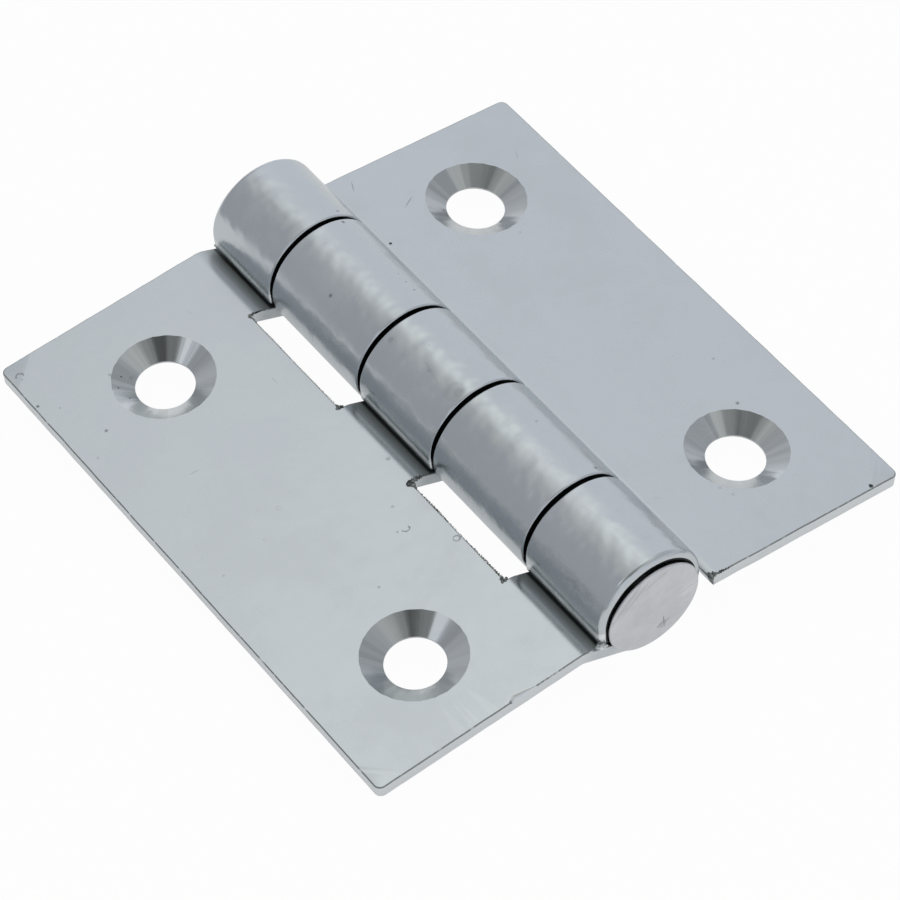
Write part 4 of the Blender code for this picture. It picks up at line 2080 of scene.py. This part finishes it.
def faint_marks(seed: int, count: int) -> tuple[Mark, ...]:
    """Faint ticks and smudges strewn over a plate.

    Args:
        seed: The seed of their places.
        count: How many there are.

    Returns:
        The marks.
    """
    chance = random.Random(seed)
    marks = []
    for _ in range(count):
        kind = chance.choice((MarkKind.SPOT, MarkKind.SPOT, MarkKind.SCRATCH, MarkKind.RING))
        size = chance.uniform(0.03, 0.045) if kind is MarkKind.SCRATCH else chance.uniform(0.09, 0.2)
        marks.append(Mark(kind, chance.uniform(7.5, 24.0) * MM, chance.uniform(-24.0, 24.0) * MM,
                          size * MM, chance.uniform(0.08, 0.24), chance.uniform(0.0, 180.0)))
    return tuple(marks)


def wide_marks() -> tuple[Mark, ...]:
    """The marks on the wide leaf, as the photograph shows them.

    Returns:
        The marks.
    """
    spot, ring, line = MarkKind.SPOT, MarkKind.RING, MarkKind.SCRATCH
    return (Mark(ring, 9.63 * MM, -7.4 * MM, 0.30 * MM, 0.55),
            Mark(ring, 7.21 * MM, -10.59 * MM, 0.26 * MM, 0.5),
            Mark(ring, 24.2 * MM, 23.5 * MM, 0.30 * MM, 0.55),
            Mark(spot, 24.75 * MM, 20.15 * MM, 0.15 * MM, 0.55),
            Mark(spot, 6.75 * MM, -1.26 * MM, 0.20 * MM, 0.22),
            Mark(spot, 9.17 * MM, -5.12 * MM, 0.14 * MM, 0.2),
            Mark(spot, 18.75 * MM, 17.87 * MM, 0.07 * MM, 0.8),
            Mark(spot, 17.93 * MM, 18.73 * MM, 0.08 * MM, 0.8),
            Mark(spot, 18.51 * MM, 16.71 * MM, 0.10 * MM, 0.5),
            Mark(spot, 0.0, 4.3 * MM, 0.24 * MM, 0.22, 20.0, 66.0),
            Mark(spot, 0.0, -3.0 * MM, 0.85 * MM, 0.12, 0.0, 74.5),
            Mark(spot, 0.0, -3.3 * MM, 0.50 * MM, 0.20, 0.0, 77.0),
            Mark(spot, 0.0, -3.35 * MM, 0.20 * MM, 0.30, 0.0, 79.0),
            Mark(spot, 0.0, -0.1 * MM, 0.16 * MM, 0.22, 0.0, 71.5),
            Mark(line, 0.0, -0.4 * MM, 0.10 * MM, 0.12, 80.0, 71.5),
            Mark(spot, 0.0, 17.6 * MM, 0.14 * MM, 0.40, 0.0, 124.0))


def narrow_marks() -> tuple[Mark, ...]:
    """The marks on the narrow leaf, as the photograph shows them.

    Returns:
        The marks.
    """
    spot, line = MarkKind.SPOT, MarkKind.SCRATCH
    return (Mark(spot, 6.78 * MM, 16.6 * MM, 0.14 * MM, 0.9),
            Mark(spot, 21.9 * MM, -24.70 * MM, 0.19 * MM, 0.95),
            Mark(spot, 5.97 * MM, -24.85 * MM, 0.30 * MM, 0.75),
            Mark(spot, 13.18 * MM, 17.96 * MM, 0.09 * MM, 0.9),
            Mark(line, 8.07 * MM, 23.5 * MM, 0.05 * MM, 0.35, 65.0),
            Mark(line, 10.8 * MM, 19.6 * MM, 0.06 * MM, 0.35, 30.0),
            Mark(spot, 6.23 * MM, -4.45 * MM, 0.10 * MM, 0.8),
            Mark(spot, 6.24 * MM, -0.12 * MM, 0.10 * MM, 0.8),
            Mark(spot, 0.0, 8.31 * MM, 0.09 * MM, 0.35, 0.0, 67.2),
            Mark(spot, 0.0, 7.27 * MM, 0.10 * MM, 0.40, 0.0, 67.2),
            Mark(spot, 0.0, 9.35 * MM, 0.10 * MM, 0.20, 0.0, 67.2),
            Mark(line, 0.0, 11.32 * MM, 0.11 * MM, 0.14, 85.0, 58.2),
            Mark(spot, 0.0, -9.06 * MM, 0.12 * MM, 0.25, 0.0, 76.0),
            Mark(spot, 0.0, -15.0 * MM, 0.16 * MM, 0.45, 0.0, 62.6))


def knuckle_spans(half_length: float) -> list[tuple[float, float]]:
    """The five knuckles as (far end, near end) along Y, from the far end on.

    Args:
        half_length: Half the hinge's length.

    Returns:
        The spans.
    """
    gap = 0.3 * MM
    spans = []
    far_end = half_length
    for length in (8.0 * MM, 11.35 * MM, 9.15 * MM, 11.25 * MM):
        spans.append((far_end, far_end - length))
        far_end -= length + gap
    spans.append((far_end, -half_length))
    return spans


def plate_reach(node: str, side: int, axis: Vector, droop: float, drop: float) -> float:
    """How far a drooping plate reaches from the axis, from its solid's box.

    Args:
        node: The leaf's solid.
        side: The side of the axis that it lies on.
        axis: A point of the pin's axis.
        droop: How far the leaf droops.
        drop: How far its upper face lies below the axis.

    Returns:
        The reach along the plate.
    """
    low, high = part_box(node)
    edge = high.x if side > 0 else low.x
    angle = math.radians(droop)
    return (abs(edge - axis.x) + drop * math.sin(angle)) / math.cos(angle)


def main() -> None:
    """Builds the hinge's pieces and the studio in order."""
    logging.basicConfig(level=logging.INFO, format="%(name)s: %(message)s")
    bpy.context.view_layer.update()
    low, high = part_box("leaf_three_knuckle")
    half_length = (high.y - low.y) / 2
    axis = Vector(frame["joints"][0]["pos_m"])
    spans = knuckle_spans(half_length)
    shop = ZincShop()
    press = SheetPress()
    roll = RollSizes()
    wide_droop, narrow_droop = 3.9, 4.65
    wide = RolledLeaf(
        leaf=Leaf.WIDE, name="wide_leaf_sheet", node="leaf_three_knuckle", body="wide_leaf",
        reach=plate_reach("leaf_three_knuckle", -1, axis, wide_droop, roll.plate_drop),
        droop=wide_droop, notch_clearance=1.95 * MM, fingers=spans[0::2],
        holes=((1, 9.6 * MM, 8.7 * MM), (-1, 9.1 * MM, 7.9 * MM)),
        nicks=((13.00 * MM, 2.4 * MM, 0.6 * MM),),
        finish=ZincFinish("zinc_wide_leaf", marks=wide_marks() + faint_marks(21, 16)),
        half_length=half_length, axis=axis, seed=3)
    wide.make(press, shop)
    narrow = RolledLeaf(
        leaf=Leaf.NARROW, name="narrow_leaf_sheet", node="leaf_two_knuckle", body="narrow_leaf",
        reach=plate_reach("leaf_two_knuckle", 1, axis, narrow_droop, roll.plate_drop),
        droop=narrow_droop, notch_clearance=1.25 * MM, fingers=spans[1::2],
        holes=((1, 8.9 * MM, 8.1 * MM), (-1, 8.7 * MM, 9.0 * MM)), nicks=(),
        finish=ZincFinish("zinc_narrow_leaf", marks=narrow_marks() + faint_marks(34, 9)),
        half_length=half_length, axis=axis, seed=11)
    narrow.make(press, shop)
    burr = BurrFinish("zinc_burrs")
    amounts = (0.4, 1.0)
    for index, (upper, lower) in enumerate(zip(spans[0::2], spans[2::2])):
        path = slot_path(wide, upper[1], lower[0], amounts[index])
        EdgeBurrs(f"slot_burrs_{index}", wide, path, burr, 5 + index).make(press, shop)
    lump = BurrFinish("zinc_lump", (0.84, 0.87, 0.88, 1.0), (0.60, 0.63, 0.63, 1.0))
    EdgeBurrs("tail_lump", wide, tail_lump_path(roll, -24.9 * MM), lump, 51, step=0.04 * MM,
              size=0.21 * MM, keep=1.0, spread=0.6).make(press, shop)
    EdgeBurrs("corner_burrs", narrow, corner_path(), burr, 61).make(press, shop)
    StakedPin("staked_pin", "hinge_pin", "wide_leaf", half_length, axis).make(shop)
    Studio(axis).build()


if __name__ == "__main__":
    main()
